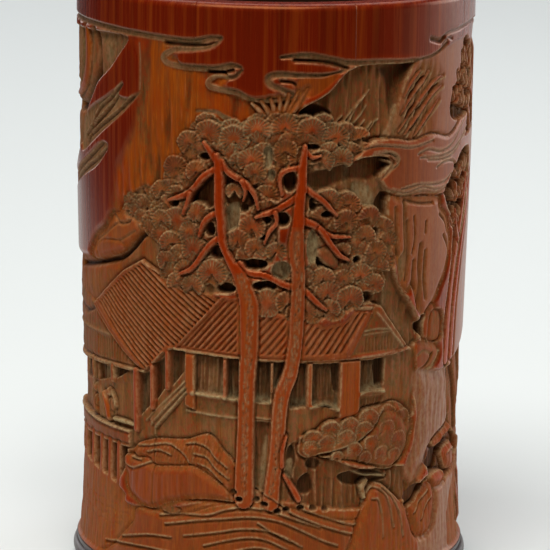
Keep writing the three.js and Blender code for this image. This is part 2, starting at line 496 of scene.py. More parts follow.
# %% The lower ridge on the left
lay([(-90, 84), (-72, 85.6), (-60, 88), (-48, 92), (-36, 101), (-30, 104), (-26, 98), (-34, 86), (-46, 76),
    (-60, 72), (-90, 70)], -1.5, wall=1.2, gloss=0.1, straw=0.3)
lay([(-90, 88), (-76, 88), (-62, 90), (-54, 93), (-47, 88), (-56, 80), (-70, 76), (-90, 74)], -0.9,
    wall=2.5, pillow=0.5, reach=5, gloss=0.45, straw=0.45)
RIDGE = [(-64, 90), (-59.5, 96), (-54, 99.5), (-50.4, 103.4), (-47.6, 104), (-45, 106.6), (-40, 107.6),
    (-36.6, 104.5), (-36.4, 100.5), (-40, 98.4), (-44.5, 94.2), (-50, 91.8), (-58, 89.2)]
lay(RIDGE, -0.55, wall=0.6, pillow=0.8, reach=3.5, moat=0.9, straw=0.8, gloss=0.5)
for line in ([(-60, 94.5), (-54, 97.5), (-48, 101), (-43, 102)], [(-58, 91.5), (-52, 94.5), (-46, 97),
        (-41, 100)], [(-50, 103), (-46, 101), (-42, 103)], [(-44, 105.5), (-41, 103.5), (-39, 100)]):
    cut(line, 0.45, 0.6, dust=0.3)
lay([(-60, 93), (-55, 95.8), (-47, 96.6), (-45, 94.6), (-51, 92.4), (-58, 90.4)], -0.4, pillow=0.5,
    gloss=0.5, straw=0.5)
# The groove under the ridge is painted near black: a painted shade.
cut([(-34.5, 101.6), (-38, 99.6), (-43.5, 94.4), (-48, 91.6), (-55, 89.6), (-64, 87.4), (-76, 85.2)], 1.5,
    1.3, soot=0.9)

# %% [markdown]
# ## Clouds
# The clouds are ribbons that scroll back on themselves. Each is one long line: a flat ribbon
# with a groove along both sides, so the polished skin seems to flow over the sky in tongues.

# %% Cloud ribbons
def ribbon(line, half, level=-0.35, lip=0.35):
    """A flat ribbon of cloud with a groove along both sides, painted darker there as a painted shade."""
    smooth_line = curve(line, steps=5)
    stroke(smooth_line, half, level, crown=0.05, moat=0, wall=0.5, rounded=False, gloss=0.5, dust=0.3)
    area, s, z = window(smooth_line, 2.5)
    distance, width = to_line(smooth_line, s, z, half)
    groove = np.exp(-(((distance - width * 0.35) / 0.35) ** 2))
    height[area] -= lip * groove
    soot[area] = np.maximum(soot[area], 0.15 * groove)


lay([(-26.2, 147.4), (-23.5, 149), (-14, 149.6), (-4, 146), (-8, 142.6), (-12.6, 141.2), (-12, 143.4),
    (-16, 145.8), (-24.6, 145.8)], -0.02, wall=0.5, gloss=1, straw=0, dust=0)
ribbon([(-96, 153.2), (-78, 153), (-60, 153), (-44, 152.6), (-30, 152), (-22, 151.8), (-17, 152.9),
    (-14.2, 153.2)], [0.6, 0.7, 0.8, 0.8, 0.8, 0.9, 0.8, 0.4])
# The undercuts beneath the clouds' curls are painted near black: a painted shade.
cut([(-30, 150.9), (-24, 150.7), (-18, 151), (-16, 151.6)], 1.3, 0.9, soot=0.9)
ribbon([(-14.2, 152.8), (-17, 150.8), (-22, 149.8), (-27, 149.4), (-30, 148), (-30.6, 146.8), (-29, 145.6),
    (-24, 145.1), (-16, 145.2), (-11.5, 146.2), (-9, 145.8)], [0.3, 0.5, 0.5, 0.7, 0.9, 1.0, 0.8, 0.8, 0.8,
    0.7, 0.4])
cut([(-17.4, 144.3), (-14, 144.3), (-11, 145)], 1.2, 0.8, soot=0.9)
ribbon([(-8.6, 145), (-11, 143.1), (-15, 143.3), (-17.4, 142), (-17.2, 140.6), (-14, 139.8), (-10, 139.3),
    (-6, 137.6), (0, 137.2), (5, 138.4)], [0.3, 0.5, 0.5, 0.8, 0.9, 0.8, 0.8, 0.6, 0.5, 0.3])
ribbon([(1.5, 148.6), (5, 149), (9, 149.1), (15, 147.9), (20, 146.9), (28, 146.8), (38, 146.3), (45, 146.6),
    (50, 148), (53.6, 149.8)], [0.3, 0.6, 0.7, 0.7, 0.8, 0.7, 0.6, 0.5, 0.4, 0.3])
cut([(5, 147.9), (10, 147.7), (15, 146.9), (19, 145.6)], 1.3, 0.8, soot=0.9)
ribbon([(18.8, 145.2), (14, 144), (8, 143.9), (1, 144.2), (-1.6, 143.3), (-1.2, 141.6), (1, 140.6),
    (4, 139.6), (5.6, 138.6)], [0.3, 0.5, 0.6, 0.8, 0.9, 0.8, 0.7, 0.5, 0.4])
cut([(1.6, 142.5), (4.4, 142.2), (5.8, 141.2)], 0.9, 0.7, soot=0.6)
lay([(6, 143), (12, 143.4), (17, 144.4), (14.5, 141.4), (10, 138.4), (6.4, 139)], -0.25, wall=0.6,
    straw=0.7, gloss=0.8)

# %% Strands of mist and the wind over the trees
for line in along_lines([(-6, 136.5), (-3, 133.5), (-1, 130.5)], [(8.5, 140.5), (6, 136), (2.5, 131.5)], 7):
    stroke(line[::-1], [0.3, 0.8, 0.5], -0.75, crown=0.5, moat=0.5, straw=0.7, gloss=0.5)
ribbon([(-21, 133.8), (-16, 134), (-13.6, 132.8), (-10, 131.2), (-7.6, 129), (-5.4, 126), (-4, 123)],
    [0.3, 0.5, 0.7, 0.7, 0.6, 0.5, 0.3], level=-0.9)

SLAB = [(31.5, 125.6), (33.4, 130), (35.4, 137), (40, 145.4), (47, 146.6), (53.5, 148.6), (62, 150),
    (70, 148), (72, 136), (66, 126), (50, 124.4), (40, 124.4)]
lay(SLAB, -0.22, wall=0.6, gloss=0.85, straw=0.5, dust=0.12)
lay([(31, 126), (33.6, 134), (37, 141), (42, 145), (47, 145), (50, 141), (48, 134), (45, 126)], -0.75,
    wall=5, gloss=0.4, dust=0.2, straw=0.3, grain=0.12)
for line in ([(36.6, 137), (39, 140.4), (42.6, 143.6)], [(35.6, 132.6), (39, 136.6), (43.4, 140.4),
        (46, 143)], [(35, 128), (39.4, 133), (44, 137), (49, 140.4), (52, 141.2)],
        [(37, 127), (41.6, 131.4), (47, 136.4), (51.4, 138.6)], [(40.6, 126.4), (45, 130.6), (50, 135)]):
    stroke(line, [0.2, 0.45, 0.5, 0.2], -0.35, crown=0.35, moat=0.35, gloss=0.6, ruddy=0.6)
    cut(np.array(line) + (0.9, -0.5), -0.25, 0.5, dust=0.6)
for line in ([(38.4, 136.6), (41, 139.4), (44, 141.6)], [(37.6, 131.6), (41, 135.2)],
        [(46.4, 137.4), (49.6, 139.2)], [(40.6, 132), (43.6, 134.8)], [(39.6, 128.2), (42, 130.6)]):
    cut(line, 0.8, 0.6, soot=0.6)
cut([(46, 152), (50, 151.2), (54, 152.4), (60, 152.8), (68, 153.6), (78, 153.8)], 0.5, 0.6, dust=0.3,
    soot=0.3)
cut([(46, 151.4), (50, 150.4), (52, 151.2)], 0.8, 0.7, soot=0.6)
cut([(51, 149.4), (54, 151), (56, 150.6)], 0.5, 0.5, soot=0.5)

# %% The long cloud on the right
CLOUD = [(19, 124.6), (24, 124.8), (28, 126.4), (34, 126.2), (40, 125.2), (48, 126.2), (56, 124.6),
    (63, 128), (72, 133), (84, 136), (100, 137), (112, 134), (118, 129), (110, 124.6), (96, 124), (84, 125),
    (72, 122.4), (64, 118.6), (61.6, 113.6), (57, 110.4), (50, 109.4), (44, 110.6), (38, 109.8), (33, 112),
    (29.4, 115), (31, 117.6), (34, 120), (32, 121.8), (27, 121.4), (22, 121.6)]
lay(CLOUD, -0.08, wall=0.5, pillow=0.25, reach=1.2, moat=0.8, gloss=0.9, dust=0.06, straw=0.4)
for line in ([(24, 124), (28, 124.8), (34, 124.2), (40, 123.4), (48, 124.4)], [(27, 122.8), (31, 123),
        (34, 121.6), (34.6, 120)], [(33, 112.8), (38, 111.6), (44, 112.4), (50, 111), (56, 111.6),
        (60, 114)], [(35, 111.4), (38, 110.8), (44, 111.5), (50, 110.2), (55, 110.8)],
        [(42, 121.4), (46, 122.2), (52, 121), (58, 122.4), (64, 126.6), (74, 131.4), (90, 134), (108, 131)],
        [(43, 120.4), (50, 119.8), (57, 120.2), (63, 122.6), (72, 126.6), (88, 129), (104, 128)],
        [(50, 117), (54, 118), (59, 117.4), (60.8, 115), (59, 113)], [(46, 119.4), (52, 118.9), (58, 119.4),
        (62.4, 121.4), (68, 123.8)], [(36, 112.6), (42, 113.2), (48, 112.6), (54, 112.6), (57.6, 114.4)],
        [(30.6, 116.4), (32.6, 118), (35, 119.6), (34.6, 121.4), (32, 122.6), (27, 122.3)]):
    cut(line, 0.4, 0.42, dust=0.7)
    cut(np.array(line) + (0.1, 0.62), -0.2, 0.35, dust=0.6)
# The hollow behind the cloud's tail is painted near black: a painted shade.
lay([(22.6, 121.2), (27, 122), (31, 121.6), (32.8, 120), (29.6, 117.4), (28, 115), (31, 112.6), (26, 113),
    (23.5, 117)], -3.0, wall=0.5, soot=0.85)
stroke([(30.6, 121), (33, 119.8), (31.4, 118), (29, 115.4), (30.6, 113.6), (34, 112)],
    [0.3, 0.6, 0.6, 0.6, 0.4, 0.3], -0.5, crown=0.3, moat=0, gloss=0.5, dust=0.4)

# %% The hanging rock under the cloud
HOLLOW = [(8, 122), (14, 119.6), (24, 120.4), (29, 116), (32, 111), (33, 104), (33, 96), (36, 88), (42, 80),
    (45, 74), (44, 66), (40, 70), (35, 77), (30, 82), (25, 86), (20, 100), (9.5, 108)]
lay(HOLLOW, -2.3, wall=0.8, grain=0.22, gloss=0.0, dust=0.12)
# The deepest parts of the hollow are painted near black: a painted shade.
lay([(9, 118), (22, 121), (28.5, 120), (27.6, 116), (21, 116.5), (12, 114)], -3.0, wall=1.2, soot=0.6)
lay([(22, 115), (27, 114), (30, 107), (27, 106), (22.5, 110)], -2.6, wall=1.4, grain=0.25, dust=0.7, soot=0)
lay([(29.8, 111.4), (32.4, 112), (32, 106.4), (29.2, 107)], -3.2, wall=0.8, soot=0.8)
HANGING = [(32.4, 111), (36, 110.6), (44, 110), (52, 108.8), (53.4, 106), (56.8, 103.4), (58.8, 99),
    (59.8, 93.6), (57.6, 88), (54, 83), (51, 79.4), (47.6, 77.4), (45.2, 78.4), (43.6, 82), (42, 86),
    (39.8, 84.6), (37.2, 87.4), (36, 93), (33.8, 98.6), (32.6, 104)]
lay(HANGING, -0.15, wall=0.6, pillow=0.8, reach=3.0, moat=0.8, gloss=0.85, straw=0.6, dust=0.14)
for line, width in (([(37.6, 109), (37.9, 103), (38.4, 96), (37.2, 90)], 0.8), ([(34.6, 108), (35.4, 100),
        (36.2, 95)], 0.7), ([(38.8, 104), (39.4, 96), (39, 88)], 0.7), ([(44.4, 97), (44, 91), (44.8, 85),
        (44.2, 80)], 1.1), ([(46.4, 95), (46.2, 88), (47.2, 82)], 0.8), ([(41.8, 93), (41.6, 88),
        (42.6, 85)], 0.8), ([(41.2, 105), (41.8, 99), (41, 95)], 0.4), ([(46.2, 103), (46, 100)], 0.5),
        ([(52.6, 104), (55.6, 101.6), (57, 98.6)], 0.7), ([(55, 98), (57.6, 94.6), (58.6, 91.4)], 0.7),
        ([(38, 109.6), (43, 108.2), (49, 107.6)], 0.7)):
    cut(line, 0.7, width, soot=0.35, gloss=0.2)
lay([(36.6, 93.6), (38.6, 96), (38.8, 91), (37.4, 87.6)], -0.9, gloss=0.2, dust=0.3)
lay([(45, 76.6), (48.4, 77), (48.8, 73), (47.4, 70.6), (45.2, 73)], -3.2, wall=0.6, soot=0.9)
stroke([(51, 78), (49.4, 74.6), (48.8, 71.6)], [1.8, 2.2, 1.4], -0.6, gloss=0.6, straw=0.3)
lay([(50.8, 77.6), (56, 77), (56.6, 70), (52, 68.8), (49.4, 71.4)], -0.7, pillow=0.5, gloss=0.6, straw=0.3)
lay([(44, 69.6), (47, 70.4), (50, 69.6), (55, 68), (55.4, 64.4), (51, 61.6), (44.6, 61.4), (43, 64)], -0.5,
    wall=0.6, pillow=0.8, reach=2.4, moat=0.7, gloss=0.55, straw=0.3)
cut([(45, 66.4), (48, 67.4), (51, 66)], 0.4, 0.6, dust=0.5)
cut([(46.6, 62.2), (49.8, 63.6), (52, 66)], 0.6, 0.7, soot=0.4)
cut([(50.4, 61.4), (53.4, 63.4), (55.4, 66)], -0.5, 0.8, dust=1.0)

# %% [markdown]
# ## Houses
# A pavilion and a longer house stand on the bank. Their roofs are flat slopes scored with
# parallel lines for the tiles, at a different angle on each slope, and that change of angle is
# what makes them read as roofs. Windows are cut almost to the full depth and painted dark inside,
# darkest at the top, a painted shade, so they fall dark.

# %% The long house on the left
LEFT_ROOF = [(-62.4, 76.6), (-54, 82.6), (-46, 88.6), (-38.5, 92.6), (-33, 90), (-27, 87), (-19, 86.6),
    (-13, 84), (-26, 70.6), (-30, 69.6), (-34, 65.6), (-38.6, 62)]
WALL_LEFT = [(-92, 60), (-44, 61.5), (-28, 70), (-9, 70), (-9, 40), (-44, 40), (-92, 38)]
lay(WALL_LEFT, -1.5, wall=0.5, rounded=False, grain=0.06, gloss=0.05)
lay([(-92, 73.5), (-66, 75), (-62, 76.4), (-50, 70), (-39, 62.2), (-60, 61.6), (-92, 59.4)], -0.95,
    rounded=False, gloss=0.3)
lay([(-92, 80), (-74, 78.6), (-62.6, 76.8), (-66, 73.6), (-74, 70.6), (-92, 70.4)], -0.8, wall=0.8,
    gloss=0.35)
cut([(-90, 74), (-76, 73.4), (-68, 73.6), (-62, 76)], 0.9, 1.2, rounded=True, soot=0.5)
lay([(-66, 73.8), (-60, 74.6), (-54.6, 71), (-68, 71)], -0.95, rounded=False, gloss=0.8)
cut([(-90, 68), (-66, 69.3), (-52, 70)], -0.35, 0.8, dust=0.3)
ribs([(-61, 68.8), (-51, 69.2), (-42, 63.6), (-61, 62.8)], 90, 1.35, 0.28)
lay(LEFT_ROOF, -0.55, wall=0.5, rounded=False, moat=0.7, gloss=0.45, straw=0.3, ruddy=0.3)
ribs([(-59.4, 77.4), (-46, 87.4), (-38.6, 91.8), (-19, 85.8), (-14, 83.6), (-26.6, 71), (-30.4, 70),
    (-37.4, 63)], -35.5, 1.32, 0.7, sharp=1.4)
for shift in (0.4, 1.5, 2.6):
    cut([(-62 + shift, 76.4 + shift * 0.8), (-50 + shift, 68.9 + shift * 0.8), (-39.4 + shift,
        61.8 + shift * 0.8)], -0.34, 0.55, rounded=False, gloss=0.6)
    cut([(-61.4 + shift, 76.2 + shift * 0.8), (-49.4 + shift, 68.7 + shift * 0.8),
        (-39 + shift, 61.6 + shift * 0.8)], 0.3, 0.4, rounded=False)
stroke([(-92, 58.8), (-66, 60.8), (-50, 62), (-38.4, 62.2)], [0.7, 0.6, 0.5, 0.4], -0.55, crown=0.2,
    gloss=0.3, dust=0.35)
cut([(-37.6, 62.3), (-33, 66.6), (-29.6, 69.4), (-26.6, 70.4)], -0.4, 0.7, gloss=0.5)


def opening(outline, level=-3.0, floor_dust=0.5, **maps):
    """A window or a gap: cut deep and painted dark as a painted shade, darkest near its top, its back
    showing upright fibres and dust at the foot.
    """
    line = np.array(outline, float)
    lay(line, level, wall=0.35, rounded=False, grain=0.28, gloss=0, straw=0, soot=0.55, dust=0.1)
    area, s, z = window(line, 0.4)
    inside = smooth(depth_inside(line, s, z) / 0.4 + 0.3)
    low, high = line[:, 1].min(), line[:, 1].max()
    painted_shade_near_top = smooth((z - high + 4) / 4)
    near_foot = smooth((low + 3.5 - z) / 3) * floor_dust
    # Near the top of the opening it is painted darker still: a painted shade under the lintel.
    soot[area] = np.maximum(soot[area], painted_shade_near_top * inside)
    dust[area] = np.maximum(dust[area], (near_foot + 0.18 * np.maximum(split_fibre[area], 0)) * inside)
    set_maps(area, inside, maps)


for outline in ([(-92, 57.4), (-68, 59.6), (-68, 54.6), (-92, 50.6)], [(-62, 60), (-57.4, 60.4),
        (-57.4, 56.6), (-62, 55.4)], [(-51.2, 61), (-45, 61.2), (-50, 58.6), (-51.2, 58)]):
    opening(outline, floor_dust=0)
lay([(-57.4, 60.2), (-53, 60.8), (-53, 58), (-57.4, 56.6)], -2.2, wall=0.4, rounded=False, dust=0.4,
    soot=0.3)
for s_post in (-64.8, -52.2):
    stroke([(s_post, 61), (s_post, 56)], [0.9, 0.9], -0.7, crown=0.3, gloss=0.4)

# %% The veranda, its two guests and its stilts
def guest(s, z, lean):
    """A tiny seated figure in a loose robe: a head, a folded body and one sleeve. No face is cut."""
    lay([(s - 2.6, z - 6.6), (s - 2.4, z - 3), (s - 1.2 + lean, z - 0.8), (s + 1.2 + lean, z - 0.9),
        (s + 2.6, z - 3.4), (s + 2.2, z - 6.8)], -0.75, pillow=0.7, reach=1.6, moat=0.8, gloss=0.35)
    lay([(s - 1 + lean, z - 0.6), (s - 0.9 + lean, z + 1.1), (s + lean, z + 1.7), (s + 0.9 + lean, z + 1),
        (s + 0.9 + lean, z - 0.6)], -0.7, pillow=0.5, reach=0.9, moat=0.5, gloss=0.3)
    cut([(s + lean, z - 1), (s - 0.8, z - 3.4), (s - 0.6, z - 6.2)], 0.4, 0.5, soot=0.3)
    cut([(s + 1 + lean, z - 1.8), (s + 1.2, z - 4), (s + 2.2, z - 4.8)], 0.4, 0.5, soot=0.3)


lay([(-92, 52), (-66, 55), (-50, 57), (-44, 58), (-44, 46), (-92, 44)], -1.7, rounded=False, wall=0.8,
    gloss=0.05)
lay([(-68, 53), (-62, 54.4), (-57.6, 50), (-58, 45), (-68, 45)], -1.1, pillow=0.5, gloss=0.2, dust=0.2)
guest(-64.6, 52.4, 0.6)
guest(-54.6, 53, -0.5)
stroke([(-57.8, 52.6), (-55.6, 49), (-54.6, 46.2)], [0.7, 1.3, 1.0], -0.5, gloss=0.9, straw=0.9)
stroke([(-53.4, 54), (-51.6, 52), (-51, 50)], [0.4, 0.6, 0.3], -0.8, gloss=0.5, dust=0.3)
stroke([(-52, 46.6), (-47, 46.8), (-43, 46.6)], [0.5, 0.6, 0.4], -0.7, crown=0.2, dust=0.9)
lay([(-92, 45.6), (-60, 45), (-44, 45), (-43.8, 40.2), (-60, 39.8), (-92, 38)], -0.5, wall=0.5,
    rounded=False, moat=0.4, gloss=0.45)
cut([(-90, 45), (-60, 44.6), (-44, 44.8)], -0.3, 0.5, rounded=False, dust=0.5)
cut([(-90, 44.2), (-60, 43.9), (-44.4, 44)], 0.35, 0.5, rounded=False)
cut([(-90, 39.4), (-60, 41), (-44.4, 41.2)], 0.3, 0.5, rounded=False, soot=0.3)
# The space under the veranda is painted dark: a painted shade.
lay([(-92, 37.6), (-60, 39.6), (-44.8, 40), (-46.6, 33), (-50, 28.4), (-60, 29.6), (-72, 27.4), (-92, 22)],
    -2.6, wall=0.7, rounded=False, soot=0.6, grain=0.2)
for s_post, foot in ((-90, 24), (-85, 25), (-80, 26), (-73.4, 28.4), (-65.4, 30.6), (-58.8, 29),
        (-53.8, 30.2), (-49.2, 28)):
    stroke([(s_post, 40), (s_post, foot)], [1.15, 1.05], -0.6, crown=0.35, moat=0.4, gloss=0.7, ruddy=0.5)

# %% Posts, windows and the stair of the house
for outline in ([(-40.4, 61), (-36, 62.6), (-35.8, 54.4), (-40.4, 49.6)], [(-34.4, 65), (-30.8, 67.4),
        (-30.6, 59.6), (-34.4, 54.8)], [(-28.9, 69.6), (-24.6, 69.6), (-24.6, 64.4), (-28.9, 59.6)]):
    opening(outline, floor_dust=0.4)
opening([(-21.3, 69.4), (-13.3, 69.6), (-13.3, 58.6), (-21.3, 58.8)], level=-2.3, floor_dust=0.2, soot=0.25)
ribs([(-20.8, 69), (-13.8, 69), (-13.8, 59), (-20.8, 59)], 90, 1.25, 0.35)
opening([(-12.1, 69.2), (-9, 69.2), (-9, 58), (-12.1, 58)], floor_dust=0.8)
lay([(-24.4, 69.6), (-21.4, 69.6), (-21.4, 54), (-24.4, 55)], -0.5, rounded=False, wall=0.35, gloss=0.5,
    straw=0.7)
for s_post, top, foot, half in ((-41.3, 62, 46, 0.95), (-35.1, 64, 53, 0.75), (-29.9, 68.6, 59, 0.7),
        (-12.7, 69.8, 58, 0.55)):
    stroke([(s_post, top), (s_post, foot)], [half, half], -0.35, crown=0.3, moat=0.4, gloss=0.9, ruddy=0.8)
cut([(-22, 58.6), (-16, 58.2), (-13, 58), (-9, 57.6)], -1.1, 0.8, rounded=True, dust=1.0)
ribs([(-21.4, 57), (-9.2, 56.4), (-9.2, 53.4), (-21.4, 54)], 90, 1.4, 0.18)
cut([(-24, 53.6), (-16, 53), (-9, 52.6)], -0.45, 0.55, dust=0.7)
STAIR = [(-36.5, 49.5), (-24.5, 61.5), (-23.6, 58), (-34, 47.5)]
lay(STAIR, -0.9, wall=0.4, rounded=False, gloss=0.2, dust=0.2)
for low, high in (((-38, 48.8), (-24.5, 61.4)), ((-34.4, 47.4), (-24, 58.6)), ((-36, 48), (-24.2, 60))):
    cut([low, high], -0.35, 0.45, rounded=False, dust=0.6)
    cut([(low[0] + 0.5, low[1] - 0.4), (high[0] + 0.5, high[1] - 0.4)], 0.3, 0.4, rounded=False)
cut([(-34.6, 47.6), (-34.6, 44.4)], -0.4, 0.5, rounded=False, dust=0.5)
ribs([(-33, 47), (-24, 56.6), (-9.6, 52), (-9.6, 40), (-18, 47)], 90, 1.1, 0.12)

# %% The pavilion's roofs
FRONT_LEFT = [(-27.4, 70.2), (-13.4, 85.6), (-9, 85.2), (-9, 69.2), (-18, 69.8)]
MIDDLE = [(-4.4, 82), (4.6, 81), (4.6, 69), (-4.4, 69)]
RIGHT_ROOF = [(8.4, 81), (14, 77.6), (20, 78.6), (24.6, 83), (29.6, 82.4), (22, 69.2), (8.4, 68.4)]
for roof in (FRONT_LEFT, MIDDLE, RIGHT_ROOF):
    lay(roof, -0.55, wall=0.45, rounded=False, moat=0.4, gloss=0.45, straw=0.15, ruddy=0.45)
ribs([(-25.6, 70.8), (-13.2, 84.4), (-9.2, 84.4), (-9.2, 70.4)], 48, 1.35, 0.7, sharp=1.4)
ribs([(-4, 81), (4.2, 80), (4.2, 70), (-4, 70)], 50, 1.5, 0.6, sharp=1.4)
ribs([(8.8, 80), (14, 77), (20, 78), (24.6, 81), (27.4, 80.4), (20.4, 70), (8.8, 69.8)], 56, 1.6, 0.7,
    sharp=1.4)
cut([(-27.2, 70.6), (-13.4, 85.2), (-9, 85)], -0.4, 0.7, rounded=False, gloss=0.6)
cut([(-26.4, 70.2), (-12.6, 85)], 0.3, 0.4, rounded=False)
cut([(22.4, 70), (29, 81.6)], -0.45, 0.9, rounded=False, gloss=0.9)
cut([(20.8, 70.4), (26.6, 80.8)], -0.3, 0.7, rounded=False, gloss=0.8)
stroke([(23.4, 82), (28.6, 81.6)], [0.5, 0.5], -0.45, crown=0.2, gloss=0.4, dust=0.5)
GABLE = [(29.4, 82.4), (22.6, 69.6), (41.6, 69.6), (35, 77.4), (31.4, 82)]
lay(GABLE, -0.85, wall=0.4, rounded=False, moat=0.6, gloss=0.35)
lay([(29.6, 80.6), (27, 76), (33.8, 76)], -0.65, rounded=False, gloss=0.85)
cut([(26.2, 75.6), (30, 75.9), (34.6, 75.4)], -0.3, 0.45, rounded=False, dust=0.7)
cut([(26, 74.6), (34.4, 74.8)], -0.25, 0.4, rounded=False, dust=0.4)
cut([(30, 80.2), (34.6, 75), (39.6, 69.8)], -0.4, 0.55, rounded=False, dust=0.7)
ribs([(26, 74), (34.4, 74), (37.4, 69.6), (25, 69.4)], 90, 1.05, 0.3)
cut([(25.4, 68.6), (36, 69)], -0.4, 0.6, rounded=False, dust=0.5)
stroke([(-27.6, 70), (-18, 69.6), (-9, 69)], [0.4, 0.45, 0.4], -0.45, crown=0.2, gloss=0.4, dust=0.4)
stroke([(-4.4, 68.6), (4.6, 68.4)], [0.4, 0.4], -0.5, crown=0.2, gloss=0.4, dust=0.3)
stroke([(8.4, 68), (20, 67.6), (26, 67.6), (34, 68.2), (41.6, 69.2)], [0.5, 0.5, 0.6, 0.6, 0.5], -0.45,
    crown=0.2, gloss=0.6)

# %% The pavilion's walls and windows
WALL_RIGHT = [(-4.4, 68.6), (8, 68.2), (36, 68.2), (44, 69), (45.6, 60), (44, 50), (36, 52), (24, 51),
    (8, 48), (8, 30), (-4.4, 30)]
lay(WALL_RIGHT, -1.45, wall=0.4, rounded=False, grain=0.05, gloss=0.1)
for outline, level, foot in (([(-4.2, 68), (-0.2, 68), (-0.2, 57), (-4.2, 57.2)], -3.2, 1.0),
        ([(0.6, 68), (4.6, 68), (4, 61), (0.6, 61)], -3.0, 0.9), ([(6, 67.6), (9.9, 67.6), (9.9, 56),
        (5.4, 55.6)], -3.2, 0.9), ([(11.4, 67.4), (19.2, 67.2), (19, 54.8), (11.4, 56.4)], -2.5, 0.9),
        ([(25.4, 67.4), (33.2, 67.4), (33, 59.4), (25.2, 58.8)], -2.6, 0.7)):
    opening(outline, level=level, floor_dust=foot)
# The far ends of the windows are painted near black: a painted shade.
lay([(30, 67.4), (33.2, 67.4), (33.2, 60.6), (31, 60.2)], -3.4, wall=0.6, rounded=False, soot=1.0)
lay([(17, 67.2), (19.2, 67.2), (19.2, 59), (18, 60)], -3.3, wall=0.6, rounded=False, soot=0.9)
ribs([(12, 66.4), (18.6, 66), (18.6, 58), (12, 58)], 90, 0.95, 0.35)
ribs([(26, 66), (31, 66), (31, 60.4), (26, 60)], 90, 0.95, 0.3)
lay([(25.4, 57.6), (33, 57.4), (32.8, 53), (25.6, 54)], -2.0, wall=0.4, rounded=False, soot=0.2, grain=0.1)
ribs([(25.8, 57.2), (32.6, 57.2), (32.6, 53.8), (26, 54)], 90, 1.0, 0.3)
cut([(25.2, 58.6), (29, 59.4), (33, 58.6)], -1.5, 0.9, dust=1.0)
cut([(11, 56), (15, 56.4), (19, 54.8)], -1.5, 0.9, dust=1.0)
cut([(-4.2, 57.6), (-0.2, 57.2)], -1.2, 0.8, dust=1.0)
for s_low, s_high, top, foot, straws in ((9.9, 11.4, 67.8, 56, 0.6), (19.2, 25.3, 67.8, 52, 0.6),
        (-0.2, 0.6, 68, 60, 0.4)):
    lay([(s_low, top), (s_high, top), (s_high, foot), (s_low, foot)], -0.6, rounded=False, wall=0.35,
        gloss=0.6, straw=straws, ruddy=0.35)
ribs([(20, 67), (24.8, 67), (24.8, 54), (20, 54)], 90, 1.1, 0.1)
for line in ([(-4, 53), (0.4, 52.6)], [(-4.2, 52), (0.2, 51.8)]):
    cut(line, -0.5, 0.4, rounded=False, dust=0.6)
lay([(-4.2, 52), (-0.2, 51.8), (-1.8, 33), (-4.2, 33)], -2.5, wall=0.5, rounded=False, grain=0.25,
    soot=0.35)
lay([(-2.4, 44), (-0.8, 48), (-1.6, 36), (-3, 33.6)], -2.7, wall=0.9, rounded=True, dust=0.6, soot=0)

# %% [markdown]
# ## Rocks, bank and water
# Rocks are smooth swelling shapes, each with a few stepped outlines that follow its edge. The
# water and the ground in front are shallow terraces: a groove with a thin raised line over it.

# %% Ground and water
def terrace(line, depth=0.5, width=0.65, pale=0.55):
    """A stepped outline: a groove painted a little dark as a painted shade, with a thin worn line along its
    upper side.
    """
    cut(line, depth, width, soot=0.3, gloss=0.5)
    cut(np.array(line, float) + (0, width * 0.95), -0.35, 0.42, dust=pale, gloss=0.6)


GROUND = [(-92, 30), (-60, 31), (-46, 28), (-44, 25), (-30, 26), (-10, 31), (8, 30), (26, 29), (44, 28),
    (56, 32), (72, 30), (90, 32), (100, 20), (100, 4), (-92, 4)]
lay(GROUND, -0.75, wall=0.8, gloss=0.55, straw=0.45)
for row, z_low in enumerate((17.6, 19.4, 21.4, 23.2)):
    for s_start in range(-80, -38, 7):
        cut([(s_start + row * 2.1, z_low), (s_start + 3 + row * 2.1, z_low + 0.5),
            (s_start + 5 + row * 2.1, z_low)], 0.14, 0.4)
    for s_start in range(43, 60, 5):
        cut([(s_start + row * 1.4, z_low + 1), (s_start + 3.4 + row * 1.4, z_low + 1.6)], 0.14, 0.35)
lay([(-40, 24.4), (-26, 24.6), (-14, 28.6), (-3, 29.4), (6, 28.4), (18, 24.6), (30, 22), (30, 6), (-52, 6),
    (-50, 12), (-42, 20)], -0.4, wall=0.7, pillow=0.4, reach=2, moat=0.5, gloss=0.75, straw=0.3)
for line in ([(-32, 23.4), (-24, 24.8), (-17, 25.4), (-12, 27.2), (-6, 28), (0, 27.4), (6, 25.4),
        (14, 22.6)], [(-30, 21.4), (-20, 23.6), (-12, 24.8), (-5, 25.6), (2, 24.8), (8, 22.4), (14, 19.4),
        (19, 17.4)], [(-24, 19), (-14, 21), (-8, 22.2), (-2, 22.2), (4, 20.4), (9, 17.6)],
        [(-18, 17), (-12, 18.8), (-6, 20), (-1, 19.6), (5, 17)], [(4, 27.6), (10, 25), (17, 22.2), (24, 20),
        (30, 19)], [(8, 28), (16, 25), (22, 23), (27, 22)], [(-3, 24), (1, 21.6), (6, 19)],
        [(-12, 15.4), (-4, 17.4), (2, 16.4)], [(-46, 15), (-36, 17.4), (-28, 18)],
        [(-54, 12), (-44, 13.4), (-30, 14), (-10, 12.6), (10, 13), (30, 11)]):
    terrace(line)
lay([(-31.6, 25.6), (-28, 26.8), (-25.4, 26), (-28.4, 24.7)], -0.7, wall=0.4, moat=0.5, gloss=0.6)

# %% Rocks on the left bank
def rock(outline, contours, level):
    """A swelling rock with stepped outlines that follow its edge."""
    lay(outline, level, wall=0.5, pillow=0.9, reach=2.6, moat=0.9, grain=0.07, gloss=0.7, straw=0.3,
        ruddy=0.15)
    for contour in contours:
        terrace(contour, 0.4, 0.55)


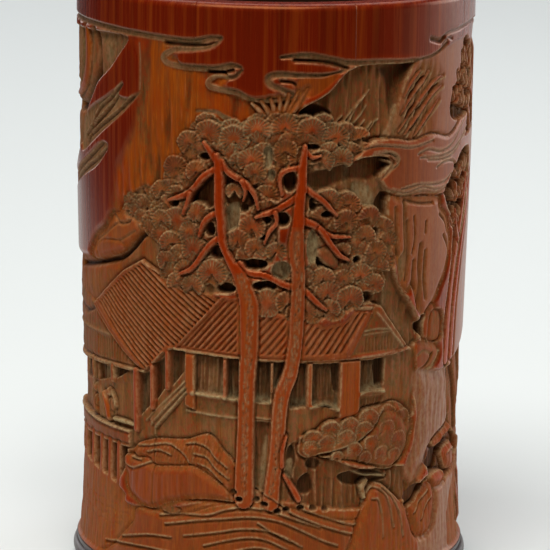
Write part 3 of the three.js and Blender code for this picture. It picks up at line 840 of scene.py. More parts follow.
rock([(-43.6, 38), (-42, 41.4), (-38, 43.2), (-34, 44.4), (-29, 45), (-24, 45.6), (-20.6, 46.8),
    (-18, 47.6), (-15.6, 46.6), (-13.4, 43.6), (-10.2, 40.4), (-9.4, 33), (-12, 30), (-40, 30)],
    [[(-41, 41), (-36, 42), (-31, 43.2), (-27.6, 42.8), (-24.6, 41), (-23, 38.4)],
    [(-37, 40), (-32.6, 41.2), (-29, 40.4)], [(-24, 44), (-20.4, 44.6), (-17.4, 43.4), (-15, 40.8),
    (-12, 38.6)], [(-21.6, 41.6), (-18, 41), (-15, 38), (-11.4, 35.6)], [(-20.4, 39), (-17, 37.8),
    (-13.4, 34.4)]], level=-0.75)
ribs([(-40, 41), (-24, 44.6), (-17, 46), (-12, 40), (-11, 36), (-20, 38), (-34, 39)], 72, 1.15, 0.2,
    rounded=True)
rock([(-45.6, 38.4), (-46.4, 36), (-45.2, 33), (-45, 30.4), (-43.6, 27.6), (-41, 26.6), (-37, 25),
    (-33.4, 25.6), (-30, 27.4), (-22, 29.4), (-14, 30), (-9.8, 29.6), (-10.4, 31), (-13, 33.8), (-18, 37),
    (-22, 38.4), (-28, 37.8), (-34.6, 37), (-37, 38.6), (-41, 38)], [[(-45.6, 35.6), (-42.4, 34.8),
    (-38.6, 36.2), (-35.6, 37.4)], [(-43, 37.4), (-39.6, 37.2)]], level=-0.15)
cut([(-34.8, 44), (-34.6, 36), (-34.9, 26.4)], 0.35, 0.4, soot=0.4)
ribs([(-33.6, 36), (-20, 37.4), (-12, 31), (-24, 29.8), (-33, 27.6)], 90, 1.7, 0.06)

# %% Bush and rocks on the right
lay([(6, 46), (12, 44), (26, 38), (44, 36), (46, 28), (26, 27), (8, 30), (5, 36)], -2.1, wall=0.6,
    grain=0.2, soot=0.25, gloss=0.1)
ribs([(13, 36.4), (26, 36), (26, 28), (13, 28)], 90, 1.5, 0.3)
# The gaps in the bush are painted near black: a painted shade.
lay([(8, 35.4), (11, 37.6), (12, 33), (9, 32)], -3.3, wall=0.5, soot=0.9)
lay([(20, 36.6), (28, 37.4), (36, 34.6), (28, 33.4), (22, 34)], -3.2, wall=0.6, soot=0.9, dust=0)
cut([(24.4, 37.4), (28, 36), (31, 35.6), (35, 34.8)], -1.6, 0.8, dust=1.0, soot=0)
SHRUB = [(7.6, 44), (9, 47.6), (12.6, 49.2), (15, 51.4), (19, 52), (23, 52.2), (27, 54), (32, 54.6),
    (37, 55.2), (41, 53.4), (43.6, 50.6), (44.6, 47), (43.4, 44), (41.6, 40.4), (38, 37), (34, 36.8),
    (29, 38.6), (22, 40.8), (14, 42.4), (10, 42)]
lay(SHRUB, -0.6, wall=0.5, pillow=0.9, reach=3, moat=0.9, gloss=0.3)


def scallops(centre_s, centre_z, radius, level, squash=0.88, lobes=7, turn=0.0, spread=360, needle=1.3,
        depth=0.34, red=0.4):
    """A pad of needles: a low fan or disc with a scalloped rim and fine grooves running to its middle."""
    box = np.array([(centre_s - radius * 1.2, centre_z - radius), (centre_s + radius * 1.2,
        centre_z + radius)])
    area, s, z = window(box, 0.9)
    u, v = s - centre_s, (z - centre_z) / squash
    r = np.hypot(u, v)
    angle = np.arctan2(u, v) - math.radians(turn)
    angle = (angle + math.pi) % (2 * math.pi) - math.pi
    rim = radius * (0.93 + 0.07 * np.abs(np.cos(angle * lobes / 2)))
    rim = rim * smooth((math.radians(spread / 2) - np.abs(angle)) / 0.2 + 0.5)
    inside = rim - r
    trench(area, inside, 0.2, 0.35)
    share = smooth(inside / 0.35 + 0.5)
    count = max(10, round(2 * math.pi * radius / needle))
    ring = smooth((r / radius - 0.12) * 2.6)
    groove = (0.5 - 0.5 * np.cos(count * angle)) ** 3 * ring
    edge = np.exp(-(((inside - 0.3) / 0.22) ** 2))
    tilt = 0.09 * (u * math.sin(radius * 40) + v * math.cos(radius * 40))
    made = level + tilt - 0.08 * (r / radius) ** 2 + 0.1 * edge - depth * groove + 0.14 * chisel[area]
    settle(area, made, share)
    pale = np.clip(np.maximum(0.7 * groove, 0.6 * edge) * (0.75 + 0.35 * mottle[area]), 0, 1)
    set_maps(area, share, {"gloss": 0.6, "soot": 0.3 * np.clip(chisel[area], 0, 1), "straw": 0.15,
        "dust": pale, "ruddy": red * (1 - groove) * (1 - 0.6 * edge) * smooth(1.2 - r / radius)})


PAD_SPACING = 1.35


def foliage(outline, size, level, seed):
    """Fills a shape with overlapping pads, the upper ones first, as roof tiles are laid."""
    pads = np.random.default_rng(seed)
    line = curve(outline, closed=True)
    lay(outline, level - 0.5, wall=0.8, grain=0.2, gloss=0.05, dust=0.15)
    low, high = line.min(0), line.max(0)
    z = high[1]
    row = 0
    while z > low[1]:
        s = low[0] + (row % 2) * size * PAD_SPACING / 2
        while s < high[0]:
            place = np.array([s, z]) + pads.uniform(-0.3, 0.3, 2) * size
            rim = depth_inside(line, *[np.array([[v]]) for v in place])[0, 0]
            if rim > size * 0.15:
                scallops(*place, size * pads.uniform(0.85, 1.2), level + pads.uniform(-0.3, 0.15),
                    squash=pads.uniform(0.75, 0.95), lobes=int(pads.integers(5, 10)),
                    turn=pads.uniform(-50, 50), spread=pads.choice([360, 240, 200]),
                    red=pads.uniform(0.0, 0.5))
            s += size * PAD_SPACING
        z -= size * PAD_SPACING * 0.6
        row += 1


for s, z, r, turn in ((12, 47, 3, -20), (17, 49.4, 3, 10), (22.6, 50, 3, 0), (28.4, 51.6, 3.2, 10),
        (34.6, 52, 3.2, 0), (40, 50, 3.4, 30), (11.4, 44.6, 2.6, -40), (16, 45.8, 2.8, 0),
        (21.6, 46.6, 3, 10), (27, 48.4, 3, 20)):
    scallops(s, z, r, -0.55, lobes=5, turn=turn, spread=260, needle=1.0, depth=0.3)
lay([(14, 42), (20, 43), (26, 45.6), (30.4, 49), (33, 52.4), (38, 52), (42, 47.6), (42.4, 43.4), (40, 39.4),
    (36, 37.6), (30, 39), (22, 41)], -0.5, wall=0.4, pillow=0.5, reach=2, moat=0.5, gloss=0.45)
terrace([(13.6, 42.4), (17, 43), (21, 44), (25.6, 45.4), (29, 47.6), (31.4, 50.6), (33, 53)], 0.5, 0.6,
    pale=0.8)
for s, z, r in ((19, 42, 2), (24, 43.6, 2.4), (29.6, 44.6, 2.8), (34.6, 48, 3), (38.6, 44.6, 3),
        (33, 41.4, 2.8), (27.4, 41, 2.2), (37.4, 40.6, 2.2)):
    scallops(s, z, r, -0.5, lobes=5, turn=20, spread=300, needle=1.1, depth=0.22)
rock([(27, 27), (28.6, 31.4), (31, 33.2), (33.6, 32.8), (36.6, 30.6), (40, 27.6), (43, 24), (46, 18),
    (50, 8), (22, 8), (24, 20)], [[(27.4, 28), (29.4, 31.6), (31.8, 31.6), (34.6, 29.4), (36.4, 25),
    (37.6, 20)], [(33.6, 31.6), (37, 28.6), (39.6, 23.6), (41, 17)], [(30, 29), (32, 28.4), (33.4, 24),
    (33.6, 18)]], level=-0.55)
stroke([(27.6, 30), (27, 33), (28.4, 34.6)], [0.6, 0.9, 0.4], -0.8, gloss=0.4, dust=0.6)

# %% The smooth bank at the far right
lay([(44.6, 62), (56, 60.6), (66, 60.2), (78, 58), (92, 60), (96, 44), (70, 44.6), (62, 40.6), (54, 38),
    (46, 31), (41.6, 36), (44.6, 42), (46, 50)], -0.9, wall=1.5, pillow=0.6, reach=6, gloss=1.95, straw=0.3,
    dust=0.4)
lay([(51, 28), (60, 28.4), (78, 29), (92, 30), (98, 4), (50, 4), (47, 14)], -0.6, wall=1.5, gloss=1.95,
    straw=0.3, dust=0.4)
# The hollows among the rocks are painted dark: a painted shade.
lay([(51, 36), (55, 41), (63, 43.4), (72, 43), (76, 36), (70, 30), (56, 29)], -2.2, wall=0.8, soot=0.5)
lay([(52, 31.4), (56, 38), (61, 37), (58, 31)], -3.3, wall=0.9, soot=0.9)
lay([(59, 37.8), (67, 39.2), (70, 36.6), (63, 34.8)], -3.2, wall=0.8, soot=0.9)
rock([(55, 40.4), (58.6, 42.2), (64, 43), (70, 44.4), (70, 41), (63, 40), (58, 38.6)], [], level=-0.6)
rock([(62, 36.4), (68, 38), (73, 36.6), (74, 31), (66, 30.6)], [[(65, 35), (70, 35.4), (72.6, 33)]],
    level=-0.6)
rock([(54.4, 31), (58, 32), (63, 31), (63, 28), (56, 27.6)], [], level=-0.45)
lay([(42.4, 28), (47, 30.4), (51.6, 32), (51, 29.6), (47, 26), (43, 24.6)], -2.4, wall=0.5, soot=0.8)
rock([(44, 24), (47, 26), (50.6, 29.4), (55, 29), (57, 24), (54, 17), (47, 16)], [[(46, 22.4), (49, 25.6),
    (52.4, 27.4)], [(49, 20), (51.4, 23.6), (54, 25.4)]], level=-0.65)

# %% [markdown]
# ## The two pines
# The pines are the nearest thing in the scene, so their trunks stand almost at skin level and
# keep its polish. Behind the forks the ground is drilled nearly to full depth and painted near black,
# a painted shade; the black gaps make the branches look free. The crowns are pads of needles,
# overlapping like roof tiles.

# %% Crowns
foliage([(-38, 106), (-33, 112), (-28, 118), (-23, 125.6), (-18.6, 131.6), (-12, 130), (-6, 131.4),
    (0, 134), (8, 133.4), (16, 131.4), (24, 127), (22, 122), (12, 119), (4, 121), (0, 112), (-10, 110),
    (-20, 112), (-30, 108)], 3.3, -0.8, seed=4)
foliage([(-45, 104), (-42, 109.6), (-36, 112.6), (-30, 110), (-27, 102), (-33, 99), (-40, 103)], 2.4, -1.1,
    seed=9)
foliage([(-34, 98), (-33, 105), (-28, 112), (-18, 113), (-10, 111), (0, 110), (0, 95), (-10, 94), (-12, 87),
    (-22, 86), (-31, 88)], 3.4, -0.75, seed=5)
foliage([(9, 112), (14, 113.6), (20, 112), (27, 108), (32, 105), (34, 98), (31, 90), (26, 84), (18, 80.6),
    (8, 80), (1, 82), (-2, 87), (4, 92), (10, 92), (10, 104)], 3.4, -0.75, seed=6)


def hole(s, z, wide, tall, level=-3.5, **maps):
    """A gap drilled deep between branches and painted near black, a painted shade."""
    turn = np.linspace(0, 2 * math.pi, 8, endpoint=False)
    outline = np.stack([s + wide / 2 * np.cos(turn), z + tall / 2 * np.sin(turn)], 1)
    lay(outline, level, wall=0.45, grain=0.2, **{"gloss": 0, "straw": 0, "soot": 0.75, "dust": 0.1,
        "ruddy": 0, **maps})


PALE = {"soot": 0.0, "dust": 1.0, "level": -1.9}
# The gaps in the crown are painted dark: a painted shade.
lay([(-16.2, 119.4), (-15.8, 109.4), (-23, 109.4), (-21.8, 113.4)], -3.4, wall=0.5, soot=0.8, grain=0.2)
lay([(-12.6, 118.4), (-9, 116.4), (-5, 113), (-6, 109.4), (-12.4, 110)], -2.9, wall=0.5, soot=0.6,
    grain=0.2)
lay([(-12.4, 109), (-12.6, 103), (-9.6, 104), (-9.4, 110)], -3.0, wall=0.5, dust=0.8, grain=0.2)
for s, z, wide, tall, maps in ((-18.8, 122, 3, 1.8, {}), (-17, 103, 2.6, 3.6, {}),
        (-14.8, 97, 4.6, 3.4, {}), (-27.4, 109, 2.4, 1.8, {}), (-5.6, 112, 2.2, 1.8, {}),
        (-7.8, 109, 2.2, 1.8, {}), (-12.4, 87.6, 5, 2.6, {}), (-1.6, 122.6, 2.6, 6, PALE),
        (-0.6, 117.8, 2, 3, PALE), (4.4, 116.4, 3.4, 5.6, {}), (2.6, 106.4, 3.4, 3.6, {}),
        (-2, 106, 3, 1.8, {}), (-2.8, 101.4, 2.2, 1.6, {}), (10.6, 110.2, 2, 3.4, {}),
        (14.4, 107.4, 3, 1.6, {}), (10.6, 99, 3, 9, PALE), (15, 95, 6.4, 5, {}), (23.2, 95, 2.2, 1.8, {}),
        (-4.6, 94.3, 6.4, 2.6, {}), (2.4, 92.8, 5, 5, PALE), (-2, 88.6, 6.4, 2.6, {}),
        (26.4, 84.6, 4.6, 3, {}), (10.4, 125.2, 3.4, 1.4, {}), (29, 101.6, 2, 3, {"soot": 0.5})):
    hole(s, z, wide, tall, **maps)
lay([(12, 97.8), (15.4, 99), (18, 96.4), (17.6, 93), (15, 93.4), (12.6, 95.6)], -0.6, pillow=0.7, reach=1.6,
    moat=0.6, gloss=0.3)

# %% Pads that stand in front
for s, z, r, turn, spread, level in ((-17.4, 128.2, 3.4, 0, 300, -0.6), (-23, 125.4, 3, -30, 260, -0.7),
        (-10.6, 127.2, 3.4, 0, 300, -0.6), (-4.6, 129.6, 3.2, 0, 260, -0.65), (2.8, 130.4, 3.2, 0, 260,
        -0.65), (9.8, 129.4, 3.4, 10, 260, -0.6), (16.4, 127.6, 3.2, 20, 260, -0.65),
        (-27, 118.6, 3, -30, 260, -0.7), (-21, 118, 2.6, -20, 260, -0.6), (-31.6, 112, 2.6, -30, 260, -0.8),
        (-6, 121.6, 3.2, 0, 280, -0.6), (3, 124.4, 2.8, 0, 260, -0.6), (12.6, 121.4, 3, 20, 260, -0.65),
        (18, 122, 2.8, 30, 240, -0.7), (-10.4, 113.4, 2.2, 0, 300, -0.65), (-20.6, 107.4, 2.6, 0, 360,
        -0.45), (-26.6, 104.6, 3.4, 0, 360, -0.5), (-22.8, 101.8, 2.8, 0, 300, -0.5),
        (-31.6, 104, 2.8, -20, 260, -0.7), (-21.6, 97.4, 3.2, 0, 300, -0.5), (-28.4, 98.4, 3, -20, 240,
        -0.5), (-16.4, 91.4, 3.6, 0, 300, -0.45), (-24, 91, 3.2, -20, 260, -0.55),
        (-30, 93.4, 2.6, -30, 260, -0.7), (-22, 87.6, 2.8, 0, 300, -0.5), (-5, 118.4, 2.6, 0, 260, -0.6),
        (-5.6, 104, 3.2, 0, 320, -0.45), (-9.4, 100.4, 3, 0, 320, -0.5), (-4.4, 98.6, 2.6, 0, 300, -0.5),
        (0.8, 97.8, 2.4, 0, 300, -0.5), (14.6, 111.2, 3, 20, 260, -0.6), (20.6, 110, 2.8, 30, 260, -0.65),
        (26.6, 106, 3, 30, 260, -0.6), (19.6, 105.4, 3, 0, 260, -0.55), (25.4, 101, 2.8, 20, 260, -0.6),
        (29, 96.6, 3, 30, 260, -0.6), (24.4, 90.6, 3.2, 20, 260, -0.5), (28.4, 88, 2.8, 40, 240, -0.6),
        (19.4, 90, 2.6, 0, 300, -0.55), (13.6, 90.6, 2.8, 0, 300, -0.5), (8.4, 91.4, 2.2, 0, 300, -0.5),
        (19, 97.8, 2, 0, 300, -0.5), (-1.4, 84.2, 3.6, 0, 360, -0.45), (4.4, 84.4, 3, 0, 300, -0.45),
        (9, 82.4, 3, 0, 300, -0.45), (15, 86.4, 3.2, 0, 300, -0.4), (21.4, 84.6, 3.4, 0, 300, -0.4),
        (15.4, 82, 2.8, 0, 260, -0.4)):
    scallops(s, z, r * 1.25, level, turn=turn, spread=spread, lobes=6 + int(r * 3) % 3,
        red=0.25 + 0.35 * (r > 3))

# %% Trunks and branches
def branch(line, widths, level=-0.04):
    """A polished ruddy branch that stands almost at skin level."""
    stroke(line, widths, level, crown=0.25, moat=0.8, wall=0.3, gloss=1, straw=0, dust=0, soot=0, ruddy=1)


LEFT_TRUNK = [(-15.2, 122.6), (-14.9, 120), (-14.5, 116), (-14.5, 110), (-13.9, 105), (-13.6, 100),
    (-12.5, 97), (-10.8, 94), (-8.2, 90), (-6.2, 84), (-6, 80), (-6, 70), (-6.6, 60), (-6.8, 50), (-7, 40),
    (-7.1, 31)]
RIGHT_TRUNK = [(8.2, 125.4), (7.6, 120), (7.4, 115), (6.9, 110), (6.7, 105), (6.2, 100), (6.5, 95), (7, 91),
    (6.9, 84), (6.7, 80), (6.6, 75), (6, 70), (5.2, 65), (3.3, 60), (2.5, 55), (2.2, 50), (1.9, 45),
    (1.4, 40), (0.8, 35), (0.4, 30)]
branch([(-18.8, 125.8), (-17, 123.6), (-15.4, 121)], [0.5, 0.8, 1])
branch([(-14.8, 119), (-16.8, 118.2), (-19.4, 116.2), (-21.2, 114), (-23.4, 112), (-26, 110.8),
    (-29, 109.8)], [1, 0.9, 0.9, 0.8, 0.8, 0.7, 0.4])
branch([(-22.6, 112), (-23.6, 109), (-24.6, 106.6)], [0.7, 0.6, 0.4])
branch([(-14, 121), (-12.4, 118.6), (-10, 117), (-8, 116), (-6.4, 114.4), (-5, 112.6), (-4, 109)],
    [0.9, 0.8, 0.8, 0.8, 0.8, 0.7, 0.4])
branch([(-8.4, 116), (-7.4, 113.4), (-8, 111)], [0.6, 0.5, 0.3])
branch([(-14.4, 107.6), (-17, 106.4), (-18.8, 104.4), (-20, 101)], [0.8, 0.8, 0.7, 0.4])
branch([(-13.4, 101.2), (-16, 99.8), (-18, 97.6), (-19.6, 95.4), (-21, 93.4), (-23, 91.6), (-25.4, 90.6)],
    [0.9, 0.8, 0.7, 0.7, 0.7, 0.6, 0.4])
branch([(7.6, 119.6), (5, 119.6), (2.6, 118.8), (1.6, 116.8), (2.2, 113)], [0.9, 0.7, 0.7, 0.6, 0.5])
branch([(6.6, 112.4), (4, 110.8), (2, 109.6), (0, 108.4), (-2.4, 107.6), (-4.6, 106.8)],
    [1, 0.8, 0.8, 0.8, 0.7, 0.4])
branch([(0.6, 108), (0.9, 105.4), (-1, 103), (-2.2, 100)], [0.7, 0.6, 0.6, 0.3])
branch([(7.8, 115), (10.4, 113), (13, 111.2), (15, 109.2), (17, 107.2)], [0.9, 0.8, 0.7, 0.7, 0.4])
branch([(7.6, 106), (11, 104.8), (13.6, 102.8), (16, 101.6), (21, 101.2)], [1.1, 0.9, 0.8, 0.6, 0.3])
branch([(12.6, 103.6), (15.4, 99.8), (18, 96.6), (20.6, 95.2)], [0.8, 0.8, 0.7, 0.4])
branch([(8.4, 124.4), (10, 122.6), (12.4, 123)], [0.7, 0.5, 0.3])
branch([(-8.6, 94), (-7.4, 92.4), (-5, 91.9), (-2, 91.5), (0.4, 90.4), (3.2, 89), (6, 88.2), (8.4, 87.4),
    (10.4, 85.8), (12.4, 83.8), (14.6, 82.2)], [1.2, 0.9, 0.8, 0.8, 0.8, 0.8, 0.9, 0.9, 0.8, 0.7, 0.4])
branch(LEFT_TRUNK, [0.7, 1, 1.4, 1.4, 1.2, 1.1, 1.0, 1.2, 1.9, 2.5, 2.5, 2.3, 2.2, 2.3, 2.5, 2.7])
branch(RIGHT_TRUNK, [0.6, 1.2, 1.4, 1.4, 1.6, 2.0, 1.9, 1.8, 1.8, 2.0, 1.8, 1.9, 2.1, 2.1, 2.1, 2.0, 2.0,
    2.0, 2.1, 2.2])


def bark(line, half, step, top):
    """Pine bark: a strip of small scales down the middle of a trunk, its edges left smooth."""
    line = curve(line)
    line = line[np.argsort(line[:, 1])]
    low = line[0, 1] + 1
    for z in np.arange(low, top, step):
        s = np.interp(z, line[:, 1], line[:, 0])
        for side in (-0.5, 0.1, 0.6):
            s_scale, z_scale = s + side * half + rng.uniform(-0.2, 0.2), z + rng.uniform(-0.4, 0.4)
            cut([(s_scale, z_scale), (s_scale + rng.uniform(-0.2, 0.2), z_scale + rng.uniform(0.4, 1.5))],
                rng.uniform(0.1, 0.35), 0.32, dust=rng.uniform(0.0, 0.7))
    middle = np.array([(s, z) for s, z in line if z < top])
    if len(middle) > 1:
        stroke_area, s, z = window(middle, half + 1)
        distance, _ = to_line(middle, s, z)
        set_maps(stroke_area, 0.8 * smooth((half + 0.5 - distance) / 0.6), {"ruddy": 0, "straw": 0.3,
            "gloss": 0.4})
        set_maps(stroke_area, 0.6 * smooth((half + 1.6 - distance) / 0.5), {"ruddy": 0.25, "straw": 0.6,
            "gloss": 0.7})


bark(LEFT_TRUNK, 1.15, 1.15, 91)
bark(RIGHT_TRUNK, 1.0, 1.25, 103)
for s, z in ((-10, 32.6), (-8.4, 30.8), (-3.6, 30.8), (-1.4, 29.6), (2.2, 27.8), (4.6, 28.2), (8.6, 28.6),
        (12.2, 28.4), (15.6, 28)):
    hole(s, z, 1.9, 1.3, level=-2.2)
terrace([(-4, 33.4), (-1.4, 32), (1, 30.8), (3.6, 28.8), (6, 27)], 0.4, 0.5)
for s, z, wide, tall in ((5.8, 42, 2.6, 7), (12.2, 40.2, 4.2, 3)):
    hole(s, z, wide, tall, level=-3.0)
lay([(4.6, 41), (6.4, 41.4), (6, 36.6), (4.4, 36.4)], -2.8, wall=0.6, dust=0.8)
branch([(4.4, 48), (3.4, 44), (3.4, 40)], [0.4, 0.6, 0.6])
branch([(4, 37.4), (6.6, 33.6), (8, 31)], [0.5, 0.9, 0.9])

# %% [markdown]
# ## The sides and the back
# The scene runs on round the pot, built by helpers: crags whose faces step down like roof
# slates, long clouds, pines whose branches end in pads, a fall in a gorge, a hut and a boat.
# Everything is laid from far to near, and the sheet joins up behind, so no seam shows.

# %% Helpers for the far side
SEAM = 0.93  # where, across a slab, its fall ends and the seam begins


def crag(outline, slab, slant, level=-0.12, drop=1.3, **maps):
    """A rock face of leaning slabs: each falls away from its ridge to a seam painted dark, a painted shade.
    """
    line = curve(outline, closed=True)
    lay(outline, level, wall=0.6, pillow=0.7, reach=2.4, moat=0.9, **{"gloss": 0.95, "straw": 0.15, **maps})
    area, s, z = window(line, 0.3)
    inside = smooth(depth_inside(line, s, z) / 1.6)
    across = s + slant * z + 1.5 * np.sin(z / 9.0 + s / 14.0) + 0.35 * mottle[area]
    saw = (across / slab) % 1.0
    fall = np.where(saw < SEAM, (saw / SEAM) ** 1.6, (1 - saw) / 0.07)
    height[area] -= drop * fall * inside
    strokes = 0.5 - 0.5 * np.cos(2 * math.pi * (across * 0.9 + z * 0.55) / 1.15)
    height[area] -= 0.22 * (strokes * smooth((saw - 0.45) * 4)) * inside * (saw < SEAM)
    # The lower end of each slab's fall is painted near black: a painted shade in the seam.
    set_maps(area, 0.55 * inside * smooth((saw - 0.8) * 9) * (saw < 0.97), {"soot": 0.8})
    set_maps(area, 0.5 * inside * smooth((0.12 - saw) * 12), {"ruddy": 0.9})


def cloud(line, half):
    """A long bank of cloud: a polished ribbon with worn lines that follow its edges."""
    line = curve(line, steps=5)
    stroke(line, half, -0.1, crown=0.1, moat=0.8, wall=0.45, rounded=False, gloss=0.95, straw=0.45, dust=0)
    slope = np.gradient(line, axis=0)
    normal = np.stack([-slope[:, 1], slope[:, 0]], 1) / np.maximum(np.hypot(*slope.T)[:, None], 1e-6)
    wide = np.interp(np.linspace(0, 1, len(line)), np.linspace(0, 1, len(half)), half)[:, None]
    for share in (0.62, 0.3, -0.5):
        inner = (line + normal * wide * share)[4:-4]
        terrace(inner[::4], 0.4, 0.5, pale=0.7)


def pine(s, foot, top, lean, reach, seed, half=1.8, size=3.0):
    """A pine: a bent trunk, side branches, and a bunch of needle pads at the end of each."""
    grow = np.random.default_rng(seed)
    share = np.linspace(0, 1, 7)
    spine = np.stack([s + lean * share + 1.6 * np.sin(4.4 * share + seed), foot + (top - foot) * share], 1)
    arms = []
    for number, share_up in enumerate((1.0, 0.9, 0.76, 0.62, 0.5)):
        side = 1 if (number + seed) % 2 else -1
        root = np.array([np.interp(share_up, share, spine[:, 0]), foot + (top - foot) * share_up])
        tip = root + (0, 2) if number == 0 else root + (side * reach * grow.uniform(0.75, 1.1),
            grow.uniform(0, 4))
        arms.append((root - (0, 2.5), (root + tip) / 2 + (0, grow.uniform(-1.5, 0.5)), tip))
        wide, tall = reach * grow.uniform(0.75, 0.95), reach * grow.uniform(0.42, 0.55)
        turn = np.linspace(0, 2 * math.pi, 9, endpoint=False)
        wobble = grow.uniform(0.85, 1.15, 9)
        outline = np.stack([tip[0] + wide * wobble * np.cos(turn),
            tip[1] + 1 + tall * wobble * np.sin(turn)], 1)
        foliage(outline, size, -0.7, seed=seed * 10 + number)
        hole(*((root + tip) / 2 - (0, 3.4)), reach * 0.3, 1.9, level=-2.6)
    for arm in arms:
        branch(arm, [half * 0.55, half * 0.42, 0.35])
    branch(spine, half * np.linspace(1.35, 0.45, 7))
    bark(spine, half * 0.55, 1.25, foot + (top - foot) * 0.6)


def hut(s, z, wide, tall):
    """A thatched hut: a scored roof over three openings between posts."""
    lay([(s - wide * 0.42, z), (s + wide * 0.42, z), (s + wide * 0.4, z + tall * 0.55),
        (s - wide * 0.4, z + tall * 0.55)], -1.3, rounded=False, gloss=0.2)
    for share in (-0.27, 0.0, 0.27):
        opening([(s + wide * (share - 0.1), z + tall * 0.1), (s + wide * (share + 0.1), z + tall * 0.1),
            (s + wide * (share + 0.1), z + tall * 0.52), (s + wide * (share - 0.1), z + tall * 0.52)],
            level=-2.7)
    roof = [(s - wide * 0.56, z + tall * 0.5), (s - wide * 0.3, z + tall), (s + wide * 0.26, z + tall),
        (s + wide * 0.56, z + tall * 0.5), (s, z + tall * 0.55)]
    lay(roof, -0.5, wall=0.4, rounded=False, moat=0.7, gloss=0.4)
    ribs(roof, 62, 1.3, 0.5)
    stroke([(s - wide * 0.32, z + tall), (s + wide * 0.28, z + tall)], [0.5, 0.5], -0.3, crown=0.2,
        gloss=0.7, ruddy=0.6)
    stroke([(s - wide * 0.5, z), (s + wide * 0.5, z)], [0.45, 0.45], -0.5, crown=0.2, gloss=0.5, dust=0.5)


# %% Sky, crags and clouds behind
lay([(74, 152), (100, 151.4), (130, 152.4), (160, 150.6), (190, 151.8), (222, 150.6), (243, 151.4),
    (246, 120), (240, 84), (200, 60), (150, 58), (110, 58), (84, 62), (78, 100), (74, 130)], -1.3, wall=1.2,
    grain=0.12, gloss=0.5, straw=0.3)
area, s, z = window(np.array([(74, 60), (246, 152)]), 0)
height[area] += 0.12 * split_fibre[area] * (height[area] < -0.6)
for shift, turned_round in ((92, 1), (136, -1), (176, 1), (218, -1)):
    ribbon([(shift - 15 * turned_round, 152.6), (shift - 4 * turned_round, 151.2),
        (shift + 5 * turned_round, 150.6), (shift + 8 * turned_round, 148.6), (shift + 4 * turned_round,
        147), (shift - 4 * turned_round, 147), (shift - 8 * turned_round, 145.4), (shift - 4 * turned_round,
        144), (shift + 3 * turned_round, 144.4)], [0.3, 0.6, 0.9, 0.9, 0.8, 0.8, 0.8, 0.7, 0.3],
        level=-0.15, lip=0.6)
crag([(134, 92), (132, 106), (137, 114), (141, 126), (147, 132), (152, 141), (158, 143), (163, 136),
    (169, 132), (172, 121), (179, 112), (184, 100), (182, 90), (160, 84)], 8.5, -0.3, level=-0.5, straw=0.6)
crag([(70, 128), (76, 133), (79, 143), (84, 147), (90, 150), (97, 146), (102, 138), (108, 134), (110, 122),
    (114, 114), (112, 100), (107, 90), (100, 82), (84, 80), (72, 90), (67, 108)], 7.2, 0.22)
crag([(194, 92), (197, 108), (203, 116), (205, 130), (211, 136), (215, 147), (222, 151), (230, 147),
    (237, 141), (242, 128), (248, 116), (250, 100), (243, 86), (226, 80), (206, 84)], 7.8, -0.24)
cloud([(112, 128), (104, 124), (94, 125), (84, 121), (76, 123), (68, 119)], [0.5, 1.7, 2.4, 2.2, 1.6, 0.6])
cloud([(136, 139), (146, 136), (156, 138.4), (166, 135), (178, 138), (190, 134), (200, 137)],
    [0.4, 1.3, 2.2, 2.6, 2.2, 1.5, 0.4])
cloud([(178, 108), (188, 106), (198, 109), (210, 106), (222, 109), (234, 105), (243, 107)],
    [0.4, 1.5, 2.2, 2.6, 2.4, 1.6, 0.5])
cloud([(124, 112), (133, 109), (142, 111.4), (152, 108.6), (162, 111), (172, 109)],
    [0.4, 1.4, 2.0, 2.2, 1.5, 0.4])

# %% The fall in the gorge
# The back of the gorge is painted darker: a painted shade.
lay([(112, 112), (123, 113), (127, 98), (126, 82), (127, 62), (110, 60), (110, 86)], -2.6, wall=1.0,
    grain=0.25, soot=0.35, gloss=0, straw=0)
for offset in range(8):
    stroke([(114 + offset * 1.2, 112), (113.6 + offset * 1.4, 94), (111.6 + offset * 1.9, 64)],
        [0.35, 0.5, 0.6], -1.4, crown=0.4, moat=0.4, gloss=0.6, dust=0.2)
crag([(96, 60), (97, 74), (102, 82), (105, 92), (110, 98), (114.4, 96), (114, 84), (111.6, 72), (113, 58)],
    5.4, 0.2)
crag([(124, 58), (124, 74), (127.6, 88), (132, 93), (137, 90), (141, 78), (146, 70), (143, 58)], 5.8, -0.2)

# %% Hills, water and near rocks behind
crag([(64, 60), (72, 66), (82, 74), (92, 72), (103, 66), (118, 58), (132, 62), (146, 69), (162, 66),
    (178, 60), (194, 64), (212, 72), (228, 78), (244, 70), (250, 52), (242, 38), (160, 34), (90, 36),
    (68, 44)], 11, 0.55, level=-0.7, drop=1.2, gloss=0.5, straw=0.2)
lay([(76, 34), (96, 39), (124, 35), (150, 33), (176, 36), (200, 39), (226, 36), (240, 38), (246, 4),
    (76, 4)], -0.8, wall=1.0, gloss=0.6, straw=0.4)
for row in range(8):
    for number in range(15):
        s_wave = 80 + number * 11 + (row % 2) * 5.5
        z_wave = 11.5 + row * 2.9
        terrace([(s_wave - 5, z_wave - 0.8), (s_wave - 2.4, z_wave + 0.9), (s_wave + 1.6, z_wave + 0.9),
            (s_wave + 5, z_wave - 0.8)], 0.35, 0.45, pale=0.4)
crag([(76, 14), (78, 26), (84, 31), (88, 39), (95, 43), (102, 41), (107, 34), (114, 30), (119, 22),
    (124, 14), (100, 9)], 5.6, 0.3, drop=0.8)
crag([(190, 12), (192, 24), (198, 30), (203, 38), (211, 42), (219, 37), (226, 33), (233, 25), (238, 15),
    (214, 9)], 6, -0.3, drop=0.8)

